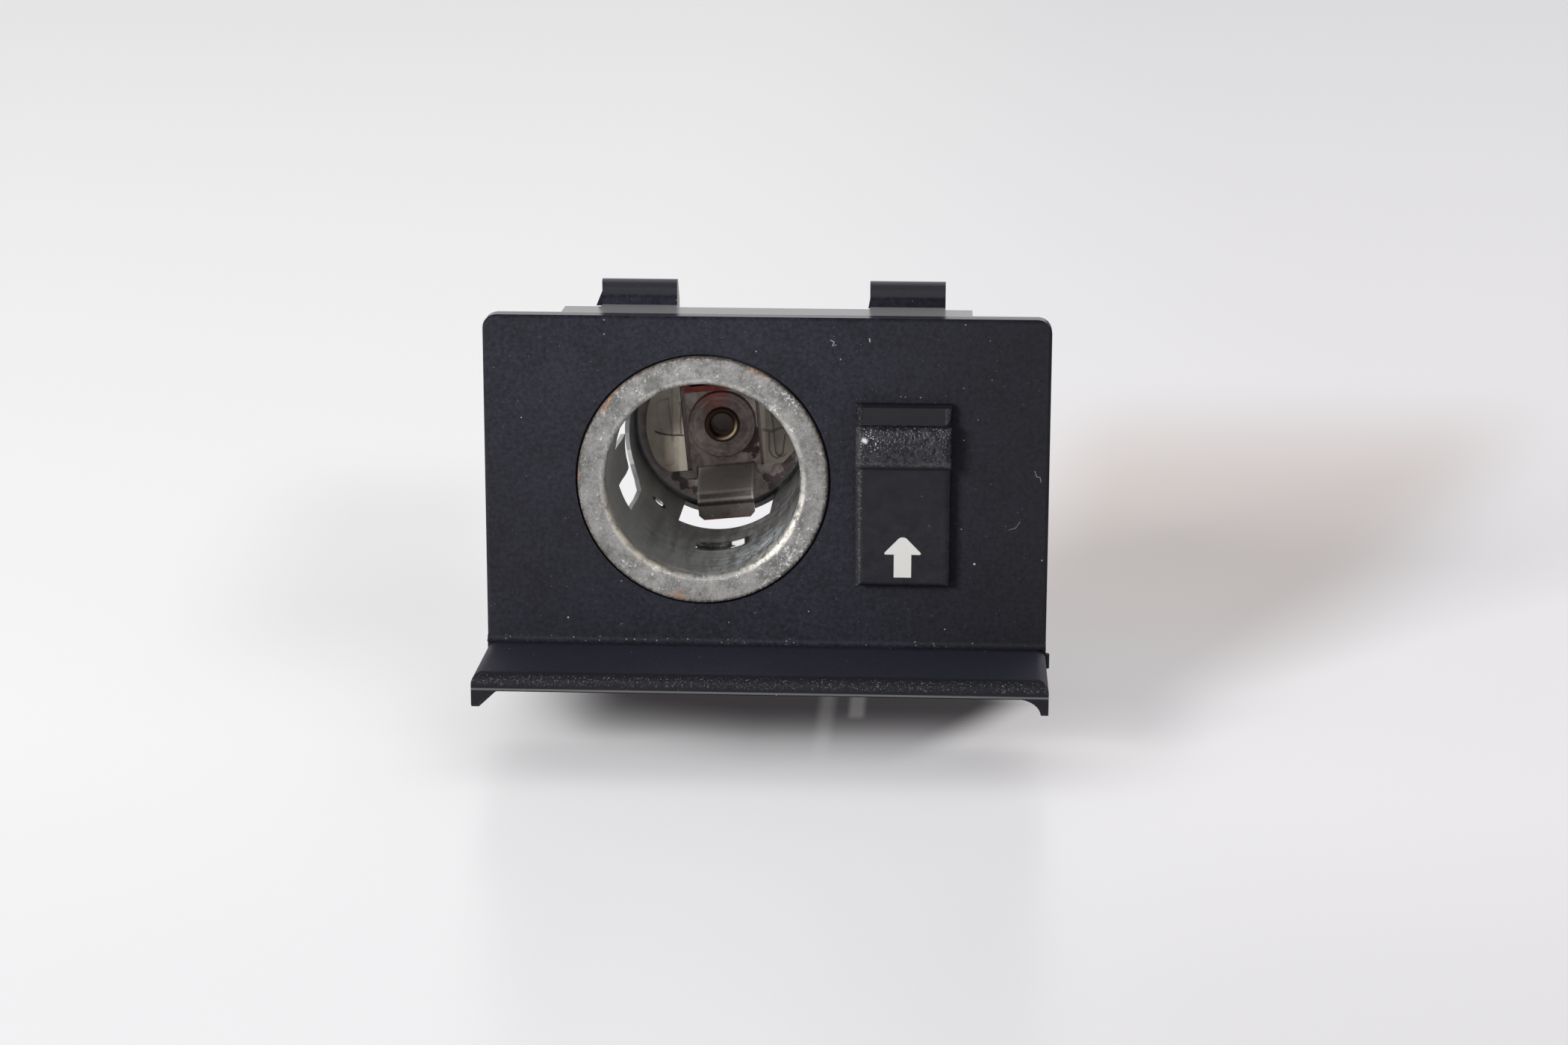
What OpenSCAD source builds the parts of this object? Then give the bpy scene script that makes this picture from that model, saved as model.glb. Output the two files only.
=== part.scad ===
// Car cigarette lighter panel: a moulded face plate that carries a 12 V lighter socket
// and a sprung release slide. The lighter's own knob is not fitted.
// X points right, Y points into the dashboard and Z points up, in millimetres.
// The origin lies on the socket's axis, in the plane of the face plate's rear side.

/* [Face plate] */
// Left edge of the plate, measured from the socket's axis
plate_left = 24; // [21:0.5:30]
// Right edge of the plate, measured from the socket's axis
plate_right = 37.8; // [35:0.1:45]
// Top edge of the plate above the socket's axis
plate_top = 18.1; // [17.5:0.1:24]
// Bottom edge of the plate below the socket's axis
plate_bottom = 24.4; // [23:0.1:30]
// Thickness of the plate
plate_t = 2.4; // [2:0.1:3.5]
// Radius of the plate's two upper corners
corner_r = 1.5; // [0.5:0.1:3]
// Chamfer round the plate's front
plate_chamfer = 0.35; // [0.2:0.05:0.8]

/* [Shelf] */
// Top of the shelf below the socket's axis
shelf_drop = 18.5; // [17:0.1:20]
// Reach of the shelf in front of the plate
shelf_reach = 13.5; // [8:0.1:18]
// Thickness of the shelf
shelf_t = 1.9; // [1.5:0.1:3]
// Radius of the shelf's front upper edge
shelf_edge_r = 1.3; // [0.3:0.1:1.5]
// Radius of the shelf's side edges
shelf_side_r = 1.2; // [0.3:0.1:1.5]
// Height of the horn at each front corner
horn_h = 3.8; // [3.2:0.1:4.5]
// Width of the curve from the horn to the shelf's underside
horn_w = 3.5; // [2:0.1:6]
// Thickness of the cheek at each side of the shelf
cheek_t = 0.8; // [0.6:0.1:1.5]
// Fillet where the shelf meets the plate
crease_r = 0.6; // [0.3:0.1:1.5]
// Height of the gate mark on the plate's right side
gate_h = 1.6; // [1:0.1:2.5]

/* [Snap hooks] */
// Left end of the ledge behind the top edge, from the socket's axis
ledge_left = 15.6; // [13:0.1:20]
// Right end of the ledge, from the socket's axis
ledge_right = 29.2; // [28:0.1:34]
// Reach of the ledge behind the plate
ledge_reach = 3.8; // [2.5:0.1:4.2]
// Thickness of the ledge
ledge_t = 1.8; // [1.2:0.1:2.2]
// Width of each snap hook
hook_w = 8.3; // [5:0.1:11]
// Height of the hook above the ledge
hook_h = 2.8; // [1.5:0.1:4]
// Gap between the ledge and the hook's front face
hook_gap = 1.4; // [1:0.1:3]
// Length of the hook behind its front face
hook_reach = 3.2; // [2.8:0.1:5]
// Middle of the left hook, left of the socket's axis
left_hook_x = 7.5; // [5:0.1:9]
// Middle of the right hook, right of the socket's axis
right_hook_x = 22.1; // [19:0.1:24]

/* [Socket] */
// Inner radius of the socket's tube
tube_r = 10.7; // [10.2:0.05:11]
// Thickness of the socket's sheet metal
sheet_t = 0.5; // [0.4:0.05:0.7]
// Radius of the ring round the socket's mouth
ring_r = 13.75; // [13:0.05:15]
// Thickness of the ring
ring_t = 1.2; // [0.9:0.05:1.5]
// Height of the ring's face in front of the plate
ring_proud = 0.5; // [0.3:0.05:0.7]
// Gap round the ring in the plate's recess
ring_gap = 0.25; // [0.1:0.05:0.6]
// Radius of the rolled edge at the mouth
mouth_r = 0.5; // [0.3:0.05:0.8]
// Amount by which the tube's radius narrows behind the slits
tube_draft = 0.2; // [0.17:0.01:0.25]
// Depth of the socket's inner bottom behind the plate
socket_depth = 30; // [29:0.5:34]
// Radius of the drawn corner at the socket's bottom
base_corner_r = 0.5; // [0.3:0.05:0.55]
// Angle by which the socket sits turned in the plate
socket_turn = 5.5; // [-10:0.5:10]

/* [Socket windows] */
// Depth at which the side windows start
side_start = 8; // [7.2:0.1:9]
// Length of the side windows
side_len = 14.7; // [13:0.1:15.5]
// Half angle of the side windows
side_half = 28; // [26:0.5:31]
// Width of the tongue in each side window
tongue_w = 4.1; // [3:0.1:5]
// Length of the tongue
tongue_len = 9.5; // [8:0.1:10.5]
// Half angle of the windows over the clip's fingers
end_half = 30.5; // [26:0.5:31]
// Length of the windows over the clip's fingers
end_len = 10; // [8:0.1:11]
// Depth of the slits for the collar's lugs
slit_start = 9.8; // [9:0.1:11]
// Width of the slits
slit_w = 2; // [1.2:0.05:2.2]
// Half angle of the slits
slit_half = 15.4; // [13:0.1:20]
// Half width of the small oblong hole in the tube's wall
drain_r = 0.6; // [0.4:0.05:1]
// Length of the small hole along the tube
drain_len = 2; // [1.6:0.1:3]
// Turn of the small hole below the left side window's middle
drain_turn = 43.5; // [40:0.5:50]

/* [Retaining collar] */
// Wall of the collar
collar_t = 2.1; // [1.5:0.1:2.4]
// Height of the seat that the collar stands on
seat_h = 1; // [0.6:0.1:1.5]
// Width of the seat outside the collar
seat_rim = 0.8; // [0.5:0.1:1]
// Length of the collar's closed ring
collar_len = 4.5; // [3:0.1:5]
// Thickness of the collar's two fingers
finger_t = 1.3; // [1:0.1:1.4]
// Half angle of the fingers and their lugs
finger_half = 11; // [8:0.5:11.5]
// Angle by which the collar is turned back from the socket
collar_turn = 3.5; // [0:0.5:3.5]

/* [Contact clip] */
// Thickness of the insulating disc in the bottom
disc_t = 0.8; // [0.5:0.05:1.2]
// Gap between the insulating disc and the bottom's corner
disc_gap = 0.1; // [0.05:0.05:0.5]
// Thickness of the clip's strip
clip_t = 0.6; // [0.5:0.05:0.7]
// Half width of the clip's strip
clip_half = 4.15; // [4:0.05:4.4]
// Half width of the clip's fingers
prong_half = 3.3; // [2.5:0.05:3.4]
// Half width between the ceramic blocks
block_inner = 4.6; // [4.5:0.05:4.9]
// Height at which the fingers leave the strip
prong_root = 5.2; // [5:0.05:5.5]
// Height of the fingers' fold above the axis
prong_fold = 7.3; // [6.8:0.05:7.6]
// Height of the fingers' tip above the axis
prong_tip = 10.2; // [9.2:0.05:10.3]
// Reach of the fingers from the strip towards the mouth
prong_reach = 5.8; // [4:0.1:7]
// Thickness of the ceramic blocks
block_t = 1.3; // [1:0.05:1.6]
// Thickness of the red fibre plate
fibre_t = 0.6; // [0.4:0.05:0.8]
// Radius of the dished washer
dish_r = 4; // [3.4:0.05:4]
// Height of the dished washer's rim
dish_h = 0.5; // [0.45:0.05:0.8]

/* [Terminals] */
// Radius of the hollow in the centre rivet
rivet_hole_r = 1.35; // [1:0.05:1.4]
// Wall of the centre rivet round its hollow
rivet_wall = 0.4; // [0.3:0.05:0.5]
// Thickness of the terminals
terminal_t = 0.8; // [0.6:0.05:1]
// Width of the terminals' blades
blade_w = 6.3; // [4.8:0.1:6.5]
// Length of the terminals' blades
blade_len = 8; // [6:0.1:8.5]
// Radius of the rear insulator
insulator_r = 7; // [6.5:0.1:7.2]
// Thickness of the rear insulator
insulator_t = 1.6; // [1.2:0.1:2]

/* [Release button] */
// Middle of the button, right of the socket's axis
button_x = 21.95; // [21.5:0.05:23]
// Width of the button
button_w = 10.4; // [9:0.1:11]
// Top of the button above the socket's axis
button_top = 8.9; // [8:0.1:9.5]
// Bottom of the button below the socket's axis
button_bottom = 11.2; // [11:0.1:12.5]
// Thickness of the button's cap
cap_t = 1.8; // [1.4:0.1:2.5]
// Radius of the cap's long edges
cap_edge_r = 0.8; // [0.4:0.1:1.1]
// Top of the thumb ridge above the socket's axis
ridge_top = 6.8; // [6:0.1:7.2]
// Height of the thumb ridge along the button
ridge_len = 4.8; // [4:0.1:5.2]
// Height of the thumb ridge in front of the cap
ridge_h = 1.3; // [0.8:0.1:2]
// Length of the arrow
arrow_len = 4.5; // [3.5:0.1:5.5]
// Width of the arrow's head
arrow_w = 4; // [3:0.1:5]
// Width of the arrow's shaft
shaft_w = 1.9; // [1.2:0.1:2.4]
// Distance from the button's lower edge to the arrow
arrow_foot = 1.05; // [0.8:0.05:2]
// Depth of the arrow's inlay
arrow_t = 0.3; // [0.2:0.05:0.5]

/* [Release slide] */
// Upward travel of the button and its slide
travel = 2.5; // [1.5:0.1:2.8]
// Running gap round the slide
run_gap = 0.15; // [0.1:0.01:0.25]
// Thickness of the slide
slide_t = 3.2; // [3:0.1:3.6]
// Width between the guide rails
channel_w = 9.7; // [9:0.1:10]
// Thickness of each guide rail
rail_t = 1.5; // [1.2:0.1:1.8]
// Top of the slide above the socket's axis
slide_top = 4.5; // [4:0.1:4.8]
// Bottom of the slide below the socket's axis
slide_bottom = 11; // [10.5:0.1:11.5]
// Reach of the latch behind the slide
latch_reach = 9; // [6:0.5:14]
// Width of the latch
latch_w = 4.4; // [3:0.1:5]
// Depth of the latch's barb
barb_h = 1.8; // [1:0.1:2]
// Length of the return spring at rest
spring_len = 5.4; // [5.2:0.1:5.6]
// Outer radius of the return spring
spring_r = 1.4; // [1.2:0.05:1.5]
// Diameter of the spring's wire
wire_d = 0.44; // [0.3:0.02:0.46]
// Thickness of the cover behind the slide
cover_t = 1.4; // [1.2:0.1:2]
// Radius of the screws' shanks
screw_r = 1; // [0.8:0.05:1.1]
// Radius of the screws' heads
head_r = 1.9; // [1.7:0.05:2.1]
// Height of the screws' heads
head_h = 1; // [0.8:0.05:1.2]

/* [Hidden] */
$fn = 72;
// A little more than nothing, for cuts that run past a face
over = 1;
// Fixed gap between a piece and what it drops into
fit = 0.05;
// Depth of the slide's channel floor in the plate's rear side
channel_floor = 0.2;
// Depth of the front face of the plate, the ring and the shelf
plate_front = -plate_t;
ring_front = plate_front - ring_proud;
ring_seat = ring_front + ring_t;
shelf_front = plate_front - shelf_reach;
horn_z = -shelf_drop - horn_h;
// Tube, hole in the plate and collar
tube_out = tube_r + sheet_t;
hole_r = tube_out + 0.15;
rear_r = tube_r - tube_draft;
disc_r = rear_r - base_corner_r - disc_gap;
collar_in = tube_out + 0.1;
collar_out = collar_in + collar_t;
end_start = socket_depth - 1.2 - end_len;
drain_y = end_start + 2.4;
// Stack at the socket's bottom, from the disc towards the mouth
disc_front = socket_depth - disc_t;
clip_front = disc_front - clip_t;
block_front = disc_front - block_t;
dish_front = clip_front - 0.4;
rivet_front = dish_front - 0.4;
block_end = prong_root + 0.1;
shoulder_end = block_end + 1;
shoulder_half = 5.7;
block_half = 6.8;
fibre_len = 3.6;
block_r = disc_r - 0.9;
// Stack behind the socket's bottom
bottom_back = socket_depth + sheet_t;
earth_back = bottom_back + terminal_t;
insulator_back = earth_back + insulator_t;
supply_back = insulator_back + terminal_t;
washer_back = supply_back + 0.4;
rivet_r = rivet_hole_r + rivet_wall;
rivet_bore = rivet_r + fit;
rivet_head_r = 2.4;
rivet_head_h = 0.9;
nose_r = 3.1;
washer_r = 2.9;
ear_r = 5.4;
supply_ear_r = 4.2;
earth_arm = 8.4;
supply_arm = 5;
rib_high = sqrt(supply_ear_r * supply_ear_r - pow(blade_w / 2 + 0.15, 2)) + 0.2;
rib_low = rib_high + 2.2;
bend_r = 0.8;
// Release slide
cap_back = plate_front - run_gap;
cap_front = cap_back - cap_t;
ridge_bottom = ridge_top - ridge_len;
slide_front = run_gap - channel_floor;
slide_back = slide_front + slide_t;
rail_h = slide_back + run_gap;
stem_w = 4.8;
stem_low = -3;
stem_high = 2;
screw_z = (stem_low + stem_high) / 2;
spring_y = (slide_front + slide_back) / 2;
stop_z = slide_top + spring_len;
stop_t = 1.1;
boss_r = screw_r + 1.6;
upper_screw_z = stop_z + stop_t + boss_r - 0.7;
lower_screw_z = -slide_bottom - 4.6;
cover_top = upper_screw_z + boss_r + 0.2;
cover_low = lower_screw_z - boss_r - 0.2;
cover_half = channel_w / 2 + rail_t;
cover_back = rail_h + cover_t;
cover_slot_half = channel_w / 2 - 1.75;
latch_t = 2.2;
latch_low = -slide_bottom + 0.5;
latch_back = slide_back + latch_reach;

// Points of an arc, as seen with the first axis right and the second up
function arc(cx, cy, r, from, to, steps = 6) =
    [for (i = [0:steps]) let (a = from + (to - from) * i / steps)
        [cx + r * cos(a), cy + r * sin(a)]];

// Unit normal of the line from p to q, on its left side
function left_normal(p, q) =
    let (d = q - p, n = norm(d)) [-d[1] / n, d[0] / n];

// Shift of a path's point i, mitred at its bends
function path_shift(path, i) =
    let (
        last = len(path) - 1,
        a = left_normal(path[max(i - 1, 0)], path[max(i, 1)]),
        b = left_normal(path[min(i, last - 1)], path[min(i + 1, last)]),
        m = a + b
    ) m * 2 / (m * m);

// Outline of a strip of thickness t whose middle follows a path
function strip(path, t) = concat(
    [for (i = [0:len(path) - 1]) path[i] + path_shift(path, i) * t / 2],
    [for (i = [len(path) - 1:-1:0]) path[i] - path_shift(path, i) * t / 2]);

// Extrudes an outline seen from the front from depth y0 to depth y1
module depthwise(y0, y1) {
    translate([0, y1, 0])
        rotate([90, 0, 0])
            linear_extrude(y1 - y0)
                children();
}

// Extrudes an outline drawn as [depth, height] from x0 to x1
module crosswise(x0, x1) {
    translate([x0, 0, 0])
        rotate([90, 0, 90])
            linear_extrude(x1 - x0)
                children();
}

// Turns a profile drawn as [radius, depth] round the socket's axis
module turned() {
    rotate([-90, 0, 0])
        rotate_extrude()
            children();
}

// A round bar along Y from depth y0 to y1, at x and z
module bar(r, y0, y1, x = 0, z = 0) {
    translate([x, y0, z])
        rotate([-90, 0, 0])
            cylinder(r = r, h = y1 - y0);
}

// A box given by its lowest and highest corners
module block(low, high) {
    translate(low)
        cube(high - low);
}

// A wedge round the socket's axis, seen from the front, that reaches past radius r
module wedge(middle, half, r) {
    far = r / cos(half / 2);
    polygon([
        [0, 0],
        [far * cos(middle - half), far * sin(middle - half)],
        [far * cos(middle), far * sin(middle)],
        [far * cos(middle + half), far * sin(middle + half)]
    ]);
}

// A part of a tube wall round the socket's axis
module wall_sector(r_in, r_out, y0, y1, middle, half) {
    intersection() {
        difference() {
            bar(r_out, y0, y1);
            bar(r_in, y0 - over, y1 + over);
        }
        depthwise(y0 - over, y1 + over)
            wedge(middle, half, 2 * r_out);
    }
}

// Turns what belongs to the socket, which sits a little askew in the plate
module socket_turned() {
    rotate([0, -socket_turn, 0])
        children();
}

// A pan head screw along Y with its head's rear face at depth y
module screw(x, y, z, length) {
    difference() {
        union() {
            bar(screw_r, y - length, y + fit, x, z);
            translate([x, y, z])
                turned()
                    polygon(concat(
                        [[0, 0], [head_r, 0]],
                        arc(head_r - 0.5, head_h - 0.5, 0.5, 0, 90, 4),
                        [[0, head_h]]));
        }
        for (a = [0, 90])
            translate([x, y + head_h, z])
                rotate([0, a, 0])
                    block([-1.1, -0.6, -0.22], [1.1, over, 0.22]);
    }
}

module plate_outline() {
    polygon(concat(
        [[-plate_left, -plate_bottom], [plate_right, -plate_bottom]],
        arc(plate_right - corner_r, plate_top - corner_r, corner_r, 0, 90),
        arc(-plate_left + corner_r, plate_top - corner_r, corner_r, 90, 180)));
}

// Shelf and cheeks as seen from the front, with the horns' inner curves
module shelf_section() {
    a = horn_w - cheek_t;
    b = horn_h - shelf_t;
    curve = [for (i = [0:8]) [a * cos(90 * i / 8), b * sin(90 * i / 8)]];
    right = [for (i = [8:-1:0]) [plate_right - horn_w + curve[i][0], horn_z + curve[i][1]]];
    left = [for (i = [0:8]) [-plate_left + horn_w - curve[i][0], horn_z + curve[i][1]]];
    polygon(concat(
        arc(plate_right - shelf_side_r, -shelf_drop - shelf_side_r, shelf_side_r, 0, 90),
        arc(-plate_left + shelf_side_r, -shelf_drop - shelf_side_r, shelf_side_r, 90, 180),
        [[-plate_left, -plate_bottom], [-plate_left + cheek_t, -plate_bottom]],
        left, right,
        [[plate_right - cheek_t, -plate_bottom], [plate_right, -plate_bottom]]));
}

// Shelf and cheeks as seen from the side
module shelf_profile() {
    polygon(concat(
        [[0, -shelf_drop]],
        arc(shelf_front + shelf_edge_r, -shelf_drop - shelf_edge_r, shelf_edge_r, 90, 180),
        [[shelf_front, horn_z + 0.3], [shelf_front + 0.4, horn_z]],
        [[plate_front, -plate_bottom], [0, -plate_bottom]]));
}

module snap_hook(x, gusset) {
    face = ledge_reach + hook_gap;
    low = plate_top - ledge_t;
    tip = plate_top + hook_h;
    crosswise(x - hook_w / 2, x + hook_w / 2)
        polygon(concat(
            [[ledge_reach - 1, low], [ledge_reach - 1, plate_top], [face, plate_top]],
            [[face + 0.12, plate_top + 0.8], [face + 0.1, tip - 0.9]],
            arc(face + 0.5, tip - 0.5, 0.5, 165, 90, 4),
            [[face + 1.1, tip - 0.05], [face + 1.7, tip - 0.5], [face + 2.2, tip - 1.3]],
            [[face + hook_reach, plate_top + 0.2], [face + hook_reach, low]]));
    // Gusset on the hook's left side
    depthwise(face + 0.3, face + 1.5)
        polygon([
            [x - hook_w / 2 - gusset, plate_top - 0.2],
            [x - hook_w / 2 + 0.2, plate_top - 0.2],
            [x - hook_w / 2 + 0.2, tip - 0.8]
        ]);
}

module face_plate() color([0.12, 0.125, 0.14]) {
    difference() {
        union() {
            depthwise(plate_front, 0)
                plate_outline();
            intersection() {
                depthwise(shelf_front - over, -over / 2)
                    shelf_section();
                crosswise(-plate_left - over, plate_right + over)
                    shelf_profile();
            }
            // Fillet in the crease
            crosswise(-plate_left, plate_right)
                polygon(concat(
                    [[plate_front + 0.2, -shelf_drop - 0.2]],
                    arc(plate_front - crease_r, -shelf_drop + crease_r, crease_r, -90, 0)));
            // Ledge with its two snap hooks
            block([-ledge_left, -over / 2, plate_top - ledge_t], [ledge_right, ledge_reach, plate_top]);
            snap_hook(-left_hook_x, 0.7);
            snap_hook(right_hook_x, 0.2);
            // Seat of the retaining collar
            bar(collar_out + seat_rim, -over, seat_h);
            // Guide rails, spring stop and screw bosses of the release slide
            for (side = [-1, 1])
                block(
                    [button_x + side * (channel_w + rail_t) / 2 - rail_t / 2, -over, cover_low],
                    [button_x + side * (channel_w + rail_t) / 2 + rail_t / 2, rail_h, cover_top]);
            block(
                [button_x - channel_w / 2 - over / 2, -over, stop_z],
                [button_x + channel_w / 2 + over / 2, rail_h, stop_z + stop_t]);
            translate([button_x, spring_y, stop_z - 1.1])
                cylinder(r = 0.8, h = 1.3);
            for (z = [upper_screw_z, lower_screw_z])
                bar(boss_r, -over, rail_h, button_x, z);
            // Gate mark on the right side
            translate([plate_right, plate_front / 2, -shelf_drop - 0.9 - gate_h])
                cylinder(r = 0.45, h = gate_h);
        }
        // Recess of the ring and hole of the tube
        bar(ring_r + ring_gap, plate_front - over, ring_seat);
        bar(hole_r, plate_front - over, seat_h + over);
        // Floor of the channel, the slot of the button's stem and the screws' holes
        difference() {
            block(
                [button_x - channel_w / 2, -channel_floor, cover_low],
                [button_x + channel_w / 2, 0, cover_top]);
            block(
                [button_x - channel_w / 2, -over, stop_z],
                [button_x + channel_w / 2, over, stop_z + stop_t]);
            for (z = [upper_screw_z, lower_screw_z])
                bar(boss_r, -over, over, button_x, z);
        }
        block(
            [button_x - stem_w / 2 - run_gap, plate_front - over, stem_low - run_gap],
            [button_x + stem_w / 2 + run_gap, over, stem_high + travel + run_gap]);
        for (z = [upper_screw_z, lower_screw_z])
            bar(screw_r, plate_front + 0.8, rail_h + over, button_x, z);
        // Chamfers round the front
        translate([0, 0, -shelf_drop + crease_r])
            linear_extrude(plate_top + shelf_drop)
                for (side = [0, 1])
                    translate([side ? plate_right : -plate_left, plate_front])
                        rotate(45)
                            square(plate_chamfer * sqrt(2), center = true);
        crosswise(-plate_left - over, plate_right + over)
            translate([plate_front, plate_top])
                rotate(45)
                    square(plate_chamfer * sqrt(2), center = true);
    }
}

// A window punched through both sides of the tube round a straight tongue,
// with an arched rear end
module side_windows() {
    h = tube_r * sin(side_half);
    y1 = side_start + side_len;
    tip = side_start + tongue_len;
    t = tongue_w / 2;
    crosswise(-tube_out - over, tube_out + over)
        difference() {
            polygon([
                [side_start, -h], [y1 - 4.4, -h], [y1 - 2, -h + 1], [y1 - 0.7, -h + 2.4],
                [y1 - 0.1, -h + 4], [y1 - 0.1, h - 4], [y1 - 0.7, h - 2.4], [y1 - 2, h - 1],
                [y1 - 4.4, h], [side_start, h]
            ]);
            polygon(concat(
                [[side_start - over, -t]],
                arc(tip - 0.5, -t + 0.5, 0.5, -90, 0, 3),
                arc(tip - 0.5, t - 0.5, 0.5, 0, 90, 3),
                [[side_start - over, t]]));
        }
}

module socket_shell() color([0.62, 0.63, 0.62]) socket_turned() {
    bottom = socket_depth;
    cr = base_corner_r;
    difference() {
        turned()
            polygon(concat(
                [[tube_out, ring_seat], [ring_r - 0.15, ring_seat], [ring_r, ring_seat - 0.15]],
                arc(ring_r - 0.3, ring_front + 0.3, 0.3, 0, -90, 3),
                arc(tube_r + mouth_r, ring_front + mouth_r, mouth_r, -90, -180, 4),
                [[tube_r, slit_start], [rear_r, slit_start + slit_w + 2]],
                arc(rear_r - cr, bottom - cr, cr, 0, 90, 5),
                [[nose_r + 0.1, bottom], [nose_r + 0.1, bottom + sheet_t]],
                arc(rear_r - cr, bottom - cr, cr + sheet_t, 90, 0, 5),
                [[rear_r + sheet_t, slit_start + slit_w + 2], [tube_out, slit_start]]));
        side_windows();
        for (middle = [-90, 90]) {
            depthwise(end_start, end_start + end_len)
                wedge(middle, end_half, 2 * tube_r);
            depthwise(slit_start, slit_start + slit_w)
                wedge(middle, slit_half, 2 * tube_r);
        }
        // Small oblong hole, with the sheet thinned round it from outside
        rotate([0, -drain_turn, 0])
            translate([-tube_out - over, drain_y, 0]) {
                for (y = [drain_r - drain_len / 2, drain_len / 2 - drain_r])
                    translate([0, y, 0])
                        rotate([0, 90, 0])
                            cylinder(r = drain_r, h = 4);
                block([0, drain_r - drain_len / 2, -drain_r], [4, drain_len / 2 - drain_r, drain_r]);
                rotate([0, 90, 0])
                    cylinder(r = drain_len / 2 + 0.6, h = over + sheet_t + tube_draft - 0.15);
            }
    }
}

module retaining_collar() color([0.09, 0.09, 0.1]) socket_turned() rotate([0, collar_turn, 0]) {
    y1 = seat_h + collar_len;
    turned()
        polygon([
            [collar_in, seat_h], [collar_out, seat_h], [collar_out, y1 - 0.5],
            [collar_out - 0.5, y1], [collar_in, y1]
        ]);
    for (middle = [-90, 90]) {
        wall_sector(collar_in, collar_in + finger_t, y1 - 0.5, slit_start + slit_w + 1, middle, finger_half);
        wall_sector(tube_r + 0.22, collar_in + 0.3, slit_start + fit, slit_start + slit_w - fit,
            middle, finger_half);
    }
}

module base_disc() color([0.33, 0.22, 0.18]) socket_turned() {
    difference() {
        bar(disc_r, disc_front, socket_depth);
        bar(rivet_bore, disc_front - over, socket_depth + over);
    }
}

// Ceramic block beside the clip's strip, on the left for side -1
module ceramic_block(side) {
    inner = block_inner;
    difference() {
        intersection() {
            bar(block_r, block_front, disc_front);
            depthwise(block_front - over, disc_front + over)
                polygon([
                    [side * inner, -block_end + 0.15],
                    [side * block_half, -block_end + 0.15],
                    [side * block_r, -block_end + 2.2],
                    [side * block_r, block_end - 2.2],
                    [side * block_half, block_end - 0.15],
                    [side * inner, block_end - 0.15]
                ]);
        }
        // Shallow pocket outside a raised strip, with a rounded lower end
        depthwise(block_front - over, block_front + 0.4)
            polygon(concat(
                arc(side * (inner + 2.1), -block_end + 1.6, 0.75, side < 0 ? 0 : 180, side < 0 ? -180 : 360, 6),
                [[side * (inner + 2.9), 3.4], [side * (inner + 1.35), 3.9]]));
    }
}

module left_ceramic_block() color([0.72, 0.69, 0.6]) socket_turned() {
    ceramic_block(-1);
}

module right_ceramic_block() color([0.72, 0.69, 0.6]) socket_turned() {
    ceramic_block(1);
}

// One finger of the clip, drawn as [depth, height] for the upper side
module prong() {
    mid = clip_front + clip_t / 2;
    tip_y = mid - prong_reach;
    difference() {
        crosswise(-prong_half, prong_half)
            polygon(strip([
                [mid, prong_root - 1.2],
                [mid, prong_root - 0.45],
                [mid - 0.2, prong_root - 0.1],
                [mid - 0.6, prong_root + 0.15],
                [tip_y + 1.3, prong_fold - 0.5],
                [tip_y + 0.6, prong_fold - 0.2],
                [tip_y + 0.2, prong_fold + 0.1],
                [tip_y, prong_fold + 0.5],
                [tip_y - 0.1, prong_tip]
            ], clip_t - 0.1));
        for (side = [-1, 1])
            translate([side * prong_half, 0, prong_tip])
                rotate([0, 45, 0])
                    cube([0.8, 4 * prong_reach + 100, 0.8], center = true);
    }
}

module contact_clip() color([0.5, 0.47, 0.45]) socket_turned() {
    difference() {
        union() {
            block([-clip_half, clip_front, -prong_root + 0.3], [clip_half, disc_front, prong_root - 0.3]);
            // Shoulders under the ceramic blocks' ends
            for (side = [-1, 1])
                for (flip = [0, 1])
                    rotate([0, 180 * flip, 0])
                        depthwise(clip_front, disc_front)
                            polygon([
                                [side * (prong_half + 0.3), -prong_root + 0.4],
                                [side * clip_half, -prong_root + 0.4],
                                [side * clip_half, -block_end],
                                [side * shoulder_half, -block_end],
                                [side * (shoulder_half - 0.6), -shoulder_end],
                                [side * (prong_half + 0.3), -shoulder_end]
                            ]);
        }
        bar(rivet_bore, clip_front - over, disc_front + over);
    }
    prong();
    rotate([0, 180, 0])
        prong();
}

module fibre_plate() color([0.62, 0.16, 0.1]) socket_turned() {
    low = dish_r + 0.15;
    high = low + fibre_len;
    difference() {
        depthwise(clip_front - fibre_t, clip_front)
            polygon([
                [-clip_half, low], [clip_half, low], [clip_half, high - 0.8],
                [clip_half - 0.8, high], [-clip_half + 0.8, high], [-clip_half, high - 0.8]
            ]);
        block(
            [-prong_half - 0.15, clip_front - fibre_t - over, prong_root - 0.35],
            [prong_half + 0.15, clip_front + over, prong_root + 1]);
    }
}

module dished_washer() color([0.45, 0.42, 0.41]) socket_turned() {
    front = clip_front - dish_h;
    turned()
        polygon([
            [rivet_bore, dish_front], [rivet_r + 1, dish_front], [dish_r - 0.5, front],
            [dish_r - 0.15, front], [dish_r, front + 0.2], [dish_r - 0.3, clip_front],
            [rivet_bore, clip_front]
        ]);
}

module centre_rivet() color([0.66, 0.5, 0.26]) socket_turned() {
    lip = rivet_r + 0.35;
    turned()
        polygon(concat(
            [[rivet_r, dish_front], [lip, dish_front]],
            arc(lip - 0.3, rivet_front + 0.3, 0.3, 0, -90, 4),
            arc(rivet_hole_r + 0.4, rivet_front + 0.4, 0.4, -90, -180, 5),
            [[rivet_hole_r, earth_back], [0, earth_back + 0.5]],
            [for (i = [0:5]) [
                rivet_head_r * sin(18 * i),
                washer_back + rivet_head_h * cos(18 * i)
            ]],
            [[rivet_r, washer_back]]));
}

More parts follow.
